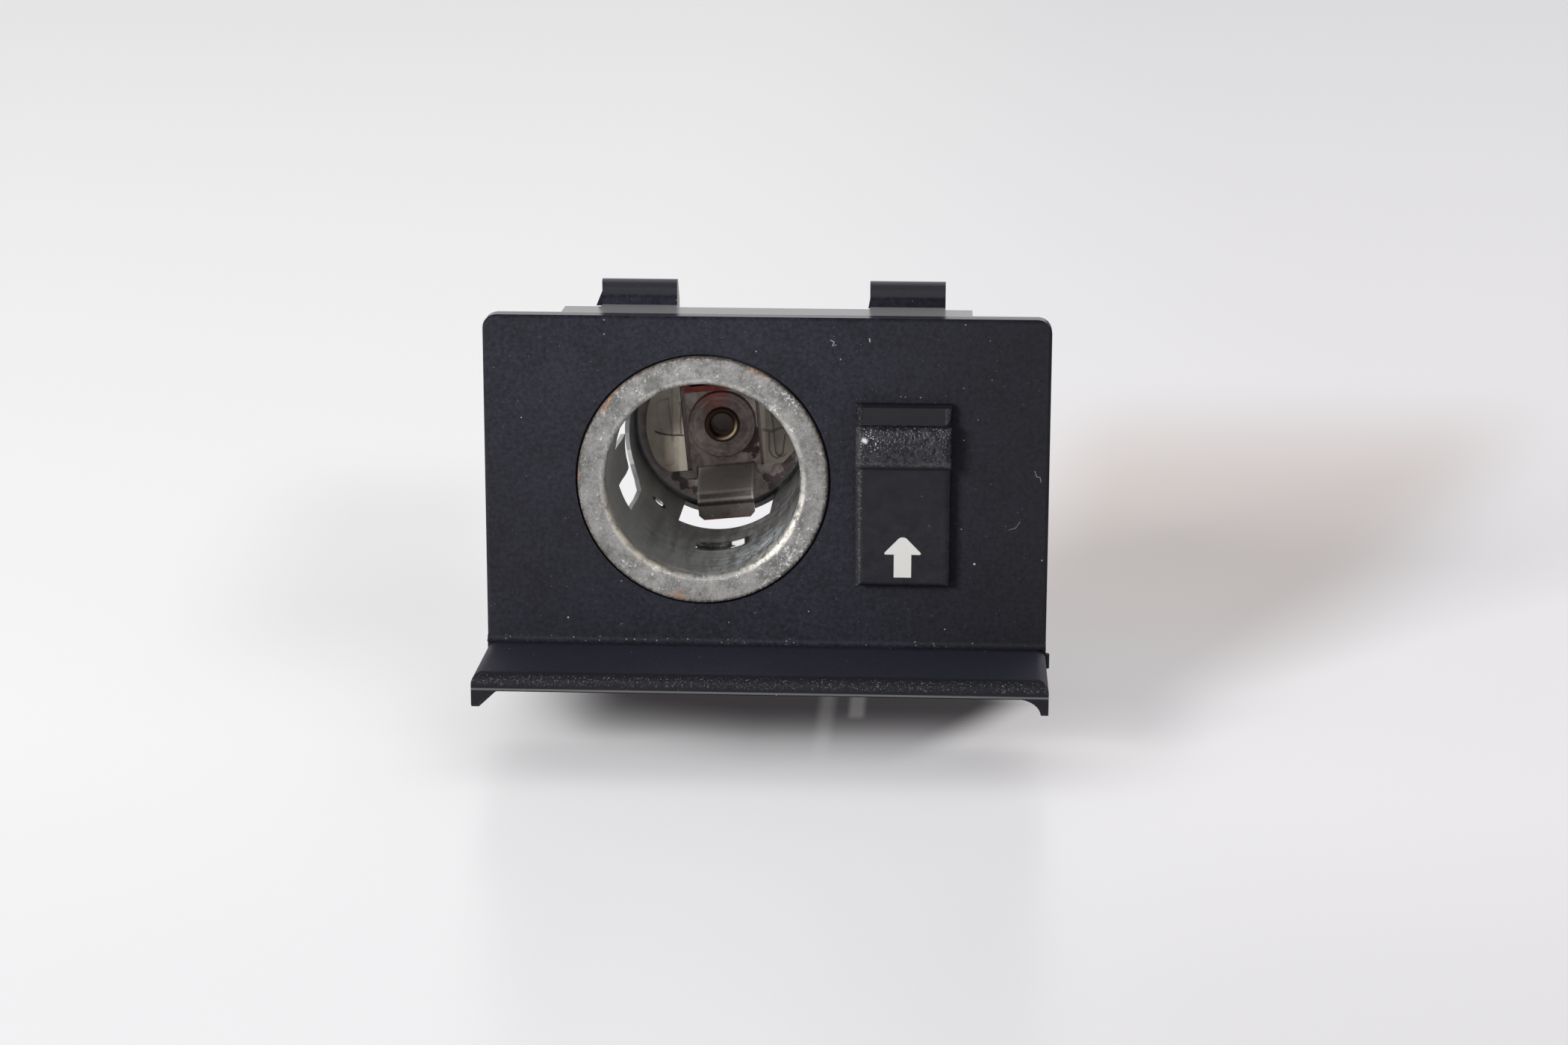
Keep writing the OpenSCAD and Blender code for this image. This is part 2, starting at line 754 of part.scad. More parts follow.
// Blade terminal: a flat eye at depth y0 whose arm bends into a blade at the given height
module blade_terminal(y0, eye_hole, eye_r, arm_z) {
    t = terminal_t;
    mid = y0 + t / 2;
    tip = y0 + t + blade_len;
    difference() {
        union() {
            bar(eye_r, y0, y0 + t);
            crosswise(-blade_w / 2, blade_w / 2)
                polygon(strip(concat(
                    [[mid, 0]],
                    [for (i = [0:5]) [mid + bend_r * (1 - cos(18 * i)), arm_z - bend_r + bend_r * sin(18 * i)]],
                    [[tip, arm_z]]), t));
        }
        bar(eye_hole, y0 - over, y0 + t + over);
        // Bevelled corners and the catch hole of the blade
        for (side = [-1, 1])
            translate([side * blade_w / 2, tip, arm_z])
                rotate([0, 0, 45])
                    cube([1.4, 1.4, 4 * t], center = true);
        translate([0, tip - 3, arm_z - 2 * t])
            cylinder(r = 0.8, h = 4 * t);
    }
}

module earth_terminal() color([0.68, 0.67, 0.62]) socket_turned() {
    blade_terminal(bottom_back, nose_r + 0.1, ear_r, earth_arm);
}

module supply_terminal() color([0.7, 0.58, 0.34]) socket_turned() {
    mirror([0, 0, 1])
        blade_terminal(insulator_back, rivet_bore, supply_ear_r, supply_arm);
}

module rear_insulator() color([0.16, 0.12, 0.1]) socket_turned() {
    difference() {
        union() {
            bar(insulator_r, earth_back, insulator_back);
            bar(nose_r, socket_depth, earth_back + fit);
            // Ribs that keep the supply terminal from turning
            for (side = [-1, 1])
                translate([side * (blade_w / 2 + 0.75), 0, 0])
                    block([-0.6, earth_back + fit, -rib_low], [0.6, supply_back + 0.6, -rib_high]);
        }
        bar(rivet_bore, socket_depth - over, insulator_back + over);
    }
}

module rear_washer() color([0.6, 0.6, 0.58]) socket_turned() {
    turned()
        polygon([
            [rivet_bore, supply_back], [washer_r, supply_back], [washer_r, washer_back - 0.1],
            [washer_r - 0.1, washer_back], [rivet_bore, washer_back]
        ]);
}

module cover_outline(inset, r) {
    x0 = button_x - cover_half + inset;
    x1 = button_x + cover_half - inset;
    z0 = cover_low + inset;
    z1 = cover_top - inset;
    polygon(concat(
        arc(x1 - r, z0 + r, r, -90, 0),
        arc(x1 - r, z1 - r, r, 0, 90),
        arc(x0 + r, z1 - r, r, 90, 180),
        arc(x0 + r, z0 + r, r, 180, 270)));
}

module slide_cover() color([0.1, 0.1, 0.11]) {
    s = cover_slot_half;
    low = -slide_bottom - 2;
    high = stop_z - 1.2;
    difference() {
        union() {
            depthwise(rail_h, cover_back)
                cover_outline(0, 2);
            // Rim that stiffens the cover round its slot
            block([button_x - s - 1, rail_h + 0.5, low - 0.5], [button_x + s + 1, cover_back + 0.8, high + 0.5]);
        }
        block([button_x - s, rail_h - over, low], [button_x + s, cover_back + 2 * over, high]);
        for (z = [upper_screw_z, lower_screw_z])
            bar(screw_r + 0.15, rail_h - over, cover_back + over, button_x, z);
    }
}

module cover_screws() color([0.7, 0.7, 0.68]) {
    for (z = [upper_screw_z, lower_screw_z])
        screw(button_x, cover_back, z, cover_back - plate_front - 1);
}

// A coil spring along Z from 0 to h, with closed end turns
module coil_spring(h, r, wire) {
    turns = 5.5;
    steps = 14;
    sides = 8;
    last = round(turns * steps);
    rise = h - wire;
    closed = wire * 1.03;
    active = (rise - 2 * closed) / (turns - 2);
    points = [for (i = [0:last]) let (
            u = i / steps,
            a = 360 * u,
            z = u < 1 ? closed * u
                : u > turns - 1 ? rise - closed * (turns - u)
                : closed + active * (u - 1)
        ) for (k = [0:sides - 1]) let (
            b = 360 * k / sides,
            q = r - wire / 2 + wire / 2 * cos(b)
        ) [q * cos(a), q * sin(a), z + wire / 2 + wire / 2 * sin(b)]];
    sides_faces = [for (i = [0:last - 1], k = [0:sides - 1]) let (
            n = (k + 1) % sides
        ) [i * sides + k, i * sides + n, (i + 1) * sides + n, (i + 1) * sides + k]];
    polyhedron(
        points = points,
        faces = concat(
            [[for (k = [sides - 1:-1:0]) k]],
            sides_faces,
            [[for (k = [0:sides - 1]) last * sides + k]]),
        convexity = 6);
}

module return_spring() color([0.75, 0.75, 0.76]) {
    translate([button_x, spring_y, slide_top + 0.01])
        coil_spring(spring_len - 0.02, spring_r, wire_d);
}

// Section of the button as seen from above, with rounded long edges
module cap_section(h, r) {
    w = button_w / 2;
    polygon(concat(
        [[button_x - w, cap_back], [button_x + w, cap_back]],
        arc(button_x + w - r, cap_back - h + r, r, 0, -90, 5),
        arc(button_x - w + r, cap_back - h + r, r, -90, -180, 5)));
}

// The arrow's outline
module arrow_outline() {
    foot = -button_bottom + arrow_foot;
    neck = foot + arrow_len * 0.57;
    tip = foot + arrow_len;
    half = arrow_w / 2;
    right = [
        [shaft_w / 2, foot], [shaft_w / 2, neck], [half - 0.1, neck], [half, neck + 0.12],
        [half - 0.06, neck + 0.25], [0.42, tip - 0.12], [0.16, tip]
    ];
    polygon(concat(
        [for (p = right) [button_x + p[0], p[1]]],
        [for (i = [len(right) - 1:-1:0]) [button_x - right[i][0], right[i][1]]]));
}

module release_button() color([0.13, 0.13, 0.14]) {
    w = button_w / 2 + over;
    mid = (ridge_top + ridge_bottom) / 2;
    difference() {
        union() {
            // Flat cap, a little lower above the ridge
            intersection() {
                crosswise(button_x - w, button_x + w)
                    polygon(concat(
                        [[cap_back, button_top], [cap_back, -button_bottom]],
                        arc(cap_front + 0.5, -button_bottom + 0.5, 0.5, -90, -180, 4),
                        [[cap_front, ridge_top], [cap_front + 0.5, button_top - 0.3]],
                        [[cap_front + 0.8, button_top]]));
                translate([0, 0, -button_bottom - over])
                    linear_extrude(button_top + button_bottom + 2 * over)
                        cap_section(cap_t, cap_edge_r);
            }
            // Thumb ridge with a full crown
            intersection() {
                crosswise(button_x - w, button_x + w)
                    polygon(concat(
                        [[cap_back - 0.3, ridge_top], [cap_back - 0.3, ridge_bottom]],
                        [for (i = [0:10]) [
                            cap_front - ridge_h * pow(sin(18 * i), 0.55),
                            mid - ridge_len / 2 * cos(18 * i)
                        ]]));
                translate([0, 0, ridge_bottom - over])
                    linear_extrude(ridge_len + 2 * over)
                        cap_section(cap_t + ridge_h, cap_edge_r);
            }
            // Stem through the plate
            block(
                [button_x - stem_w / 2, cap_back - 0.5, stem_low],
                [button_x + stem_w / 2, slide_front, stem_high]);
        }
        depthwise(cap_front - over, cap_front + arrow_t)
            arrow_outline();
        bar(screw_r, cap_front + 0.7, slide_front + over, button_x, screw_z);
    }
}

module arrow_inlay() color([0.86, 0.86, 0.84]) {
    depthwise(cap_front, cap_front + arrow_t)
        arrow_outline();
}

module latch_slide() color([0.14, 0.14, 0.15]) {
    half = channel_w / 2 - run_gap;
    barb_y = latch_back - 2;
    difference() {
        union() {
            block(
                [button_x - half, slide_front, -slide_bottom],
                [button_x + half, slide_back, slide_top]);
            translate([button_x, spring_y, slide_top - 0.2])
                cylinder(r = 0.8, h = 1.6);
            // Latch arm with its barb
            crosswise(button_x - latch_w / 2, button_x + latch_w / 2)
                polygon([
                    [slide_back - 0.5, latch_low + latch_t + 1.2],
                    [slide_back + 1.2, latch_low + latch_t],
                    [latch_back - 0.4, latch_low + latch_t],
                    [latch_back, latch_low + latch_t - 0.4],
                    [latch_back, latch_low + 0.5],
                    [barb_y + 0.4, latch_low - barb_h],
                    [barb_y, latch_low - barb_h],
                    [barb_y, latch_low],
                    [slide_back - 0.5, latch_low]
                ]);
        }
        bar(screw_r + 0.1, slide_front - over, slide_back + over, button_x, screw_z);
        bar(head_r + 0.2, slide_back - head_h, slide_back + over, button_x, screw_z);
    }
}

module slide_screw() color([0.7, 0.7, 0.68]) {
    screw(button_x, slide_back - head_h, screw_z, slide_back - head_h - cap_front - 0.9);
}

face_plate();
socket_shell();
retaining_collar();
base_disc();
left_ceramic_block();
right_ceramic_block();
contact_clip();
fibre_plate();
dished_washer();
centre_rivet();
earth_terminal();
rear_insulator();
supply_terminal();
rear_washer();
slide_cover();
cover_screws();
return_spring();
release_button();
arrow_inlay();
latch_slide();
slide_screw();
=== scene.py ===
# %% [markdown]
# # A car's cigarette lighter panel
# The part is a black moulded panel with a lighter socket in rolled zinc-plated sheet on the
# left and a release button on the right. The real one is worn: its ring has gone mottled
# and rusty at the rim, the clip at the bottom of the socket is heat-stained, and the plastic
# carries dust. This lesson loads the solids, lights them as a plain product photograph,
# gives each one its finish, and winds the one spring that has to be squeezed.

# %% Load the solids
import math

import bpy
from mathutils import Matrix, Vector


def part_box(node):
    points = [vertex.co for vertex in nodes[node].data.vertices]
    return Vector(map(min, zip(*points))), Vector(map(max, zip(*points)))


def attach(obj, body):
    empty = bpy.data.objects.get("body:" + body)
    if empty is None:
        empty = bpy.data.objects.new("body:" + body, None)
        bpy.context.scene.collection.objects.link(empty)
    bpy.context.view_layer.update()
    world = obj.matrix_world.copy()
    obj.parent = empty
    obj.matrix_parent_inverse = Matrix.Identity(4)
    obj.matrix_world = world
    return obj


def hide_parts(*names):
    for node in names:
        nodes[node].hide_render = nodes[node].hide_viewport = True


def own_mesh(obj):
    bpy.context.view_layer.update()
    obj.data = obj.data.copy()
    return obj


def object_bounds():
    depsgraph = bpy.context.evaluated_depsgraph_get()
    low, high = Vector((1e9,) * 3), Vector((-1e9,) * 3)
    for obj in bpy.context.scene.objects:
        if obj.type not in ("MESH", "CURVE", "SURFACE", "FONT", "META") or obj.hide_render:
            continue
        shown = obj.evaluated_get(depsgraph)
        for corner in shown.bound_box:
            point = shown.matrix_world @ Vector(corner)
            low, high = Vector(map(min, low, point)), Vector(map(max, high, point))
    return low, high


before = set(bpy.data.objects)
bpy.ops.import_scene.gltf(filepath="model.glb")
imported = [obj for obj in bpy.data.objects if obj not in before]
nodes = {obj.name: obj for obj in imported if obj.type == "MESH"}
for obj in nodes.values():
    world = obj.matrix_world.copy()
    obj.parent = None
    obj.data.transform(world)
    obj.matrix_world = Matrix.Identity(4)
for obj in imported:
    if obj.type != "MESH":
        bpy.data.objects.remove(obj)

MM = 0.001
solid_box = [list(corner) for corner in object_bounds()]
print("solids:", len(nodes), "box in mm:", [[round(v / MM, 1) for v in c] for c in solid_box])

# %% [markdown]
# ## Camera
# The photograph looks slightly down on the panel's front. Its lens and place follow from
# the panel's edges and from the socket's ring, which is round and of a known size. The
# camera looks along its own -Z, so the matrix below has right, up and back as its columns.
# The focal length is in the photograph's pixels and the three angles are in radians.

# %% Camera
PHOTO_WIDTH = 2100
PHOTO_FOCAL = 4420.0
SENSOR_WIDTH = 36
CAMERA_PLACE = Vector((26.643, -353.972, 78.323)) * MM
CAMERA_TILT, CAMERA_TURN, CAMERA_ROLL = 0.23139, -0.05042, 0.00249
forward = Vector((
    math.sin(CAMERA_TURN) * math.cos(CAMERA_TILT),
    math.cos(CAMERA_TURN) * math.cos(CAMERA_TILT),
    -math.sin(CAMERA_TILT)))
right = Vector((math.cos(CAMERA_TURN), -math.sin(CAMERA_TURN), 0))
up = right.cross(forward)
camera_right = math.cos(CAMERA_ROLL) * right + math.sin(CAMERA_ROLL) * up
camera_up = math.cos(CAMERA_ROLL) * up - math.sin(CAMERA_ROLL) * right
camera_data = bpy.data.cameras.new("camera")
camera_data.sensor_width = SENSOR_WIDTH
camera_data.lens = PHOTO_FOCAL / PHOTO_WIDTH * SENSOR_WIDTH
camera_data.clip_start = 10 * MM
camera = bpy.data.objects.new("camera", camera_data)
bpy.context.scene.collection.objects.link(camera)
camera.matrix_world = Matrix.Translation(CAMERA_PLACE) @ Matrix(
    (camera_right, camera_up, -forward)).transposed().to_4x4()
bpy.context.scene.camera = camera
print("lens", round(camera_data.lens, 1), "mm")

# %% [markdown]
# ## Shader maths as Python
# Every finish here is computed from the place on the surface. A small class wraps a
# socket, so that `1 - rust` or `grain * 0.3` adds the Math node by itself. Any other node
# comes from the one method `node`, which sets the settings first and then the sockets.
# Most masks are smooth steps, so three short words are enough for them: `above`, `below`
# and `near`.


# %% The socket class
class Value:
    """A shader socket that can be used in Python expressions."""

    def __init__(self, tree, socket=None):
        self.tree = tree
        self.socket = socket

    def node(self, kind, settings=None, sockets=None, out=0):
        """Adds a node and gives one of its outputs."""
        made = self.tree.nodes.new("ShaderNode" + kind)
        for name, setting in (settings or {}).items():
            setattr(made, name, setting)
        for name, value in (sockets or {}).items():
            if isinstance(value, Value):
                self.tree.links.new(value.socket, made.inputs[name])
            else:
                made.inputs[name].default_value = value
        return Value(self.tree, made.outputs[out] if len(made.outputs) else None)

    def maths(self, operation, *values):
        return self.node("Math", {"operation": operation}, dict(enumerate(values)))

    def __add__(self, other):
        return self.maths("ADD", self, other)

    def __sub__(self, other):
        return self.maths("SUBTRACT", self, other)

    def __rsub__(self, other):
        return self.maths("SUBTRACT", other, self)

    def __mul__(self, other):
        return self.maths("MULTIPLY", self, other)

    def __truediv__(self, other):
        return self.maths("DIVIDE", self, other)

    def __pow__(self, other):
        return self.maths("POWER", self, other)

    __radd__ = __add__
    __rmul__ = __mul__

    def abs(self):
        return self.maths("ABSOLUTE", self)

    def least(self, other):
        return self.maths("MINIMUM", self, other)

    def most(self, *others):
        """The highest of this value and the others."""
        highest = self
        for other in others:
            highest = highest.maths("MAXIMUM", highest, other)
        return highest

    def above(self, low, high):
        """0 below low, 1 above high and a smooth rise between them."""
        return self.node("MapRange", {"interpolation_type": "SMOOTHSTEP"}, {
            "Value": self, "From Min": low, "From Max": high})

    def below(self, low, high):
        """1 below low, 0 above high and a smooth fall between them."""
        return 1 - self.above(low, high)

    def near(self, centre, inner, outer):
        """1 within inner of the centre and 0 beyond outer, on both sides."""
        return (self - centre).abs().below(inner, outer)


print("socket class ready")

# %% [markdown]
# ## Patterns
# The recipes below are the words that the finishes are written in. Coordinates are the
# object's own, in metres, and every object sits at the origin, so a place on the part
# is simply its place in the CAD. X runs to the right, Y to the back and Z up, and the
# socket's axis is the Y axis. Places and the sizes of patterns are given in millimetres.


# %% Pattern helpers
class Finish:
    """A new material with its place on the surface at hand."""

    def __init__(self, name):
        self.material = bpy.data.materials.new(name)
        self.material.use_nodes = True
        self.tree = self.material.node_tree
        self.tree.nodes.clear()
        self.kit = Value(self.tree)
        self.place = self.kit.node("TexCoord", out="Object")
        x, y, z = (
            self.kit.node("SeparateXYZ", sockets={"Vector": self.place}, out=axis)
            for axis in "XYZ")
        self.x, self.y, self.z = x / MM, y / MM, z / MM

    def faces_up(self):
        """1 where the surface looks up."""
        facing = self.kit.node("TexCoord", out="Normal")
        return self.kit.node("SeparateXYZ", sockets={"Vector": facing}, out="Z").above(0.3, 0.8)

    def from_axis(self):
        """The distance from the socket's axis."""
        return (self.x * self.x + self.z * self.z) ** 0.5

    def stretched(self, x, y, z):
        return self.kit.node(
            "VectorMath", {"operation": "MULTIPLY"}, {0: self.place, 1: (x, y, z)})

    def moved(self, x, y, z):
        return self.kit.node(
            "VectorMath", {"operation": "SUBTRACT"},
            {0: self.place, 1: (x * MM, y * MM, z * MM)})

    def cloud(self, size, detail=3.0, rough=0.55, at=None, seed=0.0):
        """Soft noise from 0 to 1."""
        return self.kit.node("TexNoise", {"noise_dimensions": "4D"}, {
            "Vector": at or self.place, "Scale": 1 / (size * MM), "Detail": detail,
            "Roughness": rough, "W": seed}, out="Fac")

    def cells(self, size, out="Distance", at=None, feature="F1"):
        return self.kit.node("TexVoronoi", {"feature": feature}, {
            "Vector": at or self.place, "Scale": 1 / (size * MM)}, out=out)

    def chance(self, size, at=None):
        """A random number for each cell."""
        colour = self.cells(size, "Color", at)
        return self.kit.node("SeparateColor", sockets={"Color": colour}, out="Red")

    def specks(self, size, share, width, at=None):
        """Round specks in a share of the cells; width is in cell sizes."""
        dot = self.cells(size, at=at).below(width * 0.5, width)
        return dot * self.chance(size, at).above(1 - share - 0.02, 1 - share + 0.02)

    def spot(self, x, y, z, radius, soft=0.5, wobble=0.0):
        """A round patch about a point, with an uneven rim."""
        distance = self.kit.node(
            "VectorMath", {"operation": "LENGTH"}, {0: self.moved(x, y, z)}, out="Value") / MM
        if wobble:
            distance = distance + (self.cloud(radius * 0.8) - 0.5) * (2 * wobble * radius)
        return distance.below(radius * (1 - soft), radius)

    def patches(self, depth, places):
        """The sum of very soft spots at one depth, each with X, Z, radius and strength."""
        total = 0.0
        for x, z, radius, strength in places:
            total = total + strength * self.spot(x, depth, z, radius, 0.9)
        return total

    def stroke(self, ax, az, bx, bz, width, wobble=0.0):
        """A thin line on a front face, from (ax, az) to (bx, bz)."""
        dx, dz = bx - ax, bz - az
        along = ((self.x - ax) * dx + (self.z - az) * dz) / (dx * dx + dz * dz)
        along = along.most(0.0).least(1.0)
        away_x = self.x - ax - along * dx
        away_z = self.z - az - along * dz
        away = (away_x * away_x + away_z * away_z) ** 0.5
        if wobble:
            away = away + (self.cloud(0.7, seed=ax) - 0.5) * wobble
        return away.below(width * 0.3, width)

    def path(self, points, width, wobble=0.0):
        """A chain of strokes."""
        strokes = [
            self.stroke(ax, az, bx, bz, width, wobble)
            for (ax, az), (bx, bz) in zip(points, points[1:])]
        return strokes[0].most(*strokes[1:])

    def mix(self, factor, a, b):
        def colour(c):
            return c if isinstance(c, Value) else (*c, 1)
        sockets = {0: factor, 6: colour(a), 7: colour(b)}
        return self.kit.node("Mix", {"data_type": "RGBA"}, sockets, 2)

    def coats(self, tone, *coats):
        """Lays coats over a tone in turn; each is a share and a colour."""
        for share, colour in coats:
            tone = self.mix(share, tone, colour)
        return tone

    def finish(self, colour, roughness, metallic=0.0, bump=None, depth=0.05, **constants):
        """Closes the material. bump is a height from 0 to 1 and depth is in millimetres."""
        sockets = {"Base Color": colour, "Roughness": roughness, "Metallic": metallic}
        if bump is not None:
            sockets["Normal"] = self.kit.node("Bump", sockets={
                "Height": bump, "Distance": depth * MM, "Strength": 1.0}, out="Normal")
        shader = self.kit.node("BsdfPrincipled", sockets={**sockets, **constants})
        self.kit.node("OutputMaterial", sockets={"Surface": shader})
        return self.material


print("pattern helpers ready")


# %% Dressing a solid
def dress(material, *names):
    """Gives CAD nodes their finish."""
    for name in names:
        slots = nodes[name].data.materials
        slots.clear()
        slots.append(material)
    print(material.name, "on", ", ".join(names))


# %% [markdown]
# ## Floor sheet
# The photograph was taken on a pale, slightly glossy sheet that fills the whole view, so
# one plane is enough for it. The part was held a little above the sheet, and the plane
# lies that much below the lowest solid.

# %% Floor plane
FLOOR_DROP = 6.2
SHEET_REACH = 4.0
SHEET_CORNERS = ((-1, -1), (1, -1), (1, 1), (-1, 1))
floor_z = solid_box[0][2] - FLOOR_DROP * MM
floor_mesh = bpy.data.meshes.new("floor")
floor_mesh.from_pydata(
    [(x * SHEET_REACH, y * SHEET_REACH, floor_z) for x, y in SHEET_CORNERS], [], [(0, 1, 2, 3)])
floor = bpy.data.objects.new("floor", floor_mesh)
bpy.context.scene.collection.objects.link(floor)
print("floor at", round(floor_z / MM, 2), "mm")

# %% [markdown]
# ## Shades on the sheet
# The lamps draw the part's two shadows softer and lighter than they are in the photograph,
# so the rest of both is in the sheet's colour, as two lanes that lead back from the part.
# What held the part above the sheet isn't in the photograph. Its shade is a dark patch in
# the colour, with two paler streaks through it.

# %% Shades on the sheet
LANE_CORE, LANE_EDGE = 4, 30
RIGHT_FOOT, LEFT_FOOT = 41, -42
WIDE_STREAK_X, THIN_STREAK_X = 13.1, 16.6


def lane(sheet, foot, lean, spread):
    """A lane that leads back from foot, leans with the depth and widens by spread."""
    off_centre = (sheet.x - foot - sheet.y * lean).abs()
    return (off_centre - sheet.y * spread).below(LANE_CORE, LANE_EDGE)


def support_shade(sheet):
    """The dark patch under the part, and the streaks that thin it."""
    sides = sheet.x.above(-28, -10) * (sheet.x - sheet.y.least(17.0) * 0.5).below(22, 30)
    front = (sheet.y + (sheet.x - 5).least(0.0) * 0.27).above(-11, 15)
    back = sheet.y.below(30, 60)
    wide_streak = sheet.x.near(WIDE_STREAK_X, 0.2, 1.5) * 0.22
    thin_streak = sheet.x.near(THIN_STREAK_X, 0.4, 1.3) * sheet.y.above(9, 12) * 0.3
    return sides * front * back, wide_streak.most(thin_streak)


print("shades of the sheet ready")

# %% [markdown]
# ## The sheet's colour
# The sheet's tone falls off to the right and towards the front, most at the front right. That
# fall is painted shade in the colour, so no extra light is needed to make the sheet white. The
# shades are laid over it.
# The patch is rougher than the rest, because a gloss there would make it pale again.

# %% The sheet's colour
sheet = Finish("pale_floor")
right_lane = lane(sheet, RIGHT_FOOT, lean=0.23, spread=0.105)
right_shade = right_lane * sheet.y.above(-5, 95) * sheet.y.below(135, 230)
left_lane = lane(sheet, LEFT_FOOT, lean=-0.1, spread=0)
left_shade = left_lane * sheet.y.above(5, 65) * sheet.y.below(105, 165)
foot_shade = sheet.spot(RIGHT_FOOT, 0, floor_z / MM, radius=20, soft=0.8)
patch, streaks = support_shade(sheet)
sheet_tone = sheet.coats(
    (0.97, 0.962, 0.975),
    # Painted shade: darker to the right, towards the front and at the front right.
    (sheet.x.above(-60, 110), (0.87, 0.848, 0.875)),
    (sheet.y.below(-90, 10) * 0.6, (0.86, 0.85, 0.865)),
    (sheet.y.below(-90, -10) * sheet.x.above(0, 60) * 0.5, (0.72, 0.705, 0.725)),
    (right_shade * 0.34, (0.33, 0.16, 0.05)),
    (foot_shade * 0.13, (0.3, 0.2, 0.17)),
    (left_shade * 0.16, (0.29, 0.27, 0.29)),
    (patch * 0.97 * (1 - streaks), (0.02, 0.012, 0.018)))
floor_mesh.materials.append(sheet.finish(sheet_tone, 0.3 + patch * 0.4, IOR=1.25))
print("sheet coloured")

# %% [markdown]
# ## Sky
# A broad sky, brightest overhead, gives most of the light. It is a world whose strength
# follows the direction. The camera, mirrors and clear things see another world instead:
# a pale room whose back is white and whose front is darker. That room gives the plated
# metal something to mirror, and it puts no more light on the part.

# %% Sky
SKY_LEAN = (0, -0.25, 0.968)
SKY_LEAST, SKY_RISE = 0.05, 0.78
ROOM_FRONT, ROOM_RISE = 0.22, 0.78
WHITE = (1, 1, 1, 1)
world = bpy.data.worlds.new("studio")
world.use_nodes = True
world.node_tree.nodes.clear()
sky = Value(world.node_tree)
direction = sky.node("TexCoord", out="Generated")
to_back = sky.node("SeparateXYZ", sockets={"Vector": direction}, out="Y")
overhead = sky.node(
    "VectorMath", {"operation": "DOT_PRODUCT"}, {0: direction, 1: SKY_LEAN}, "Value")
seen = sky.node("LightPath", out="Is Camera Ray").most(
    sky.node("LightPath", out="Is Glossy Ray"), sky.node("LightPath", out="Is Transmission Ray"))
light = sky.node("Background", sockets={
    "Color": WHITE, "Strength": SKY_LEAST + overhead.most(0.0) * SKY_RISE})
room = sky.node("Background", sockets={
    "Color": WHITE, "Strength": ROOM_FRONT + to_back.above(-0.2, 0.5) * ROOM_RISE})
sky.node("OutputWorld", sockets={
    "Surface": sky.node("MixShader", sockets={0: seen, 1: light, 2: room})})
bpy.context.scene.world = world
bpy.context.scene.view_settings.view_transform = "Standard"
print("world:", world.name)

# %% [markdown]
# ## Lamps
# A softbox low at the front left draws the shadow on the right, and a weaker one at the
# front right draws the faint shadow on the left. Both are rectangles that look at the
# socket from the same distance, so one function makes them from their angles and sizes.

# %% Lamps
LAMP_DISTANCE = 2.4


def softbox(name, azimuth, elevation, width, height, power):
    """A lamp about the part; azimuth 0 is in front of it and -90 at its left."""
    a, e = math.radians(azimuth), math.radians(elevation)
    place = Vector((math.cos(e) * math.sin(a), -math.cos(e) * math.cos(a), math.sin(e)))
    data = bpy.data.lights.new(name, "AREA")
    data.shape = "RECTANGLE"
    data.size, data.size_y = width, height
    data.energy = power
    made = bpy.data.objects.new(name, data)
    bpy.context.scene.collection.objects.link(made)
    made.location = place * LAMP_DISTANCE
    made.rotation_euler = (-place).to_track_quat("-Z", "Y").to_euler()
    return made


softboxes = [
    softbox("left_softbox", azimuth=-34, elevation=18.5, width=0.8, height=0.5, power=58),
    softbox("right_softbox", azimuth=32, elevation=30, width=1.2, height=0.9, power=7)]
print("lamps:", [lamp.name for lamp in softboxes])

# %% [markdown]
# ## Black panel plastic
# The panel is moulded in black, and a fine mottle keeps it from looking like paint. In the
# photograph it is lighter on the shelf, and darker at the right, low at the left and on the
# shelf's lip, and these are painted light and shade in the colour. A function of the base colour
# gives all of that, because the collar is moulded in a black of its own.

# %% Panel plastic's tone
PLATE_FRONT, PLATE_TOP = -2.4, 18.1
SHELF_FRONT, SHELF_TOP = -15.9, -18.5
PANEL_BLACK = (0.0098, 0.0101, 0.0158)
COLLAR_BLACK = (0.007, 0.007, 0.008)


def moulded_black_painted_light(m, base):
    """The plastic's tone with its painted light and shade, before any dust."""
    def times(factor):
        return tuple(channel * factor for channel in base)

    mottle = m.cloud(0.5, 4, 0.8) * 0.8 + m.cloud(6, 3, seed=1) * 0.2
    shelf_painted_light = m.y.below(PLATE_FRONT - 2.1, PLATE_FRONT - 0.6)
    lip_painted_shade = m.y.below(SHELF_FRONT + 0.7, SHELF_FRONT + 1.5)
    return m.coats(
        times(0.5),
        (mottle.above(0.36, 0.64), times(1.8)),
        # Painted shade at the right and low at the left, painted light on the shelf and painted
        # shade on its lip.
        (m.x.above(10, 36) * 0.65, times(0.35)),
        (m.z.below(-8, 12) * m.x.below(-22, 4) * 0.3, times(0.35)),
        (shelf_painted_light * 0.5, times(2.8)),
        (lip_painted_shade * 0.85, times(0.3)))


print("panel black:", PANEL_BLACK)

# %% [markdown]
# ## Dust and lint
# Dust lies on the plastic in pale specks of three sizes, and use has left a few hair-thin
# marks. Specks come from Voronoi cells: a dot in the middle of a few of them. Each hair is
# a short path where the real part has it. Both are colour only, because dust has no gloss.

# %% Dust and lint
# Each hair has its points in X and Z, its width, its wobble and its strength.
HAIRS = (
    ([(13.9, 15.7), (14.3, 15.5), (14.1, 15.1), (14.5, 15.2)], 0.06, 0.06, 0.7),
    ([(18.1, 15.9), (18.15, 15.6)], 0.1, 0.05, 1.0),
    ([(36.2, 1.5), (36.4, 0.9), (36.8, 0.8), (36.9, 0.3)], 0.05, 0.05, 0.5),
    ([(34.7, -4.2), (34.2, -4.9), (33.5, -5.1)], 0.05, 0.05, 0.35))
DUST_ABOVE_BUTTON = [(21.2, 9.55), (23.9, 9.5)]


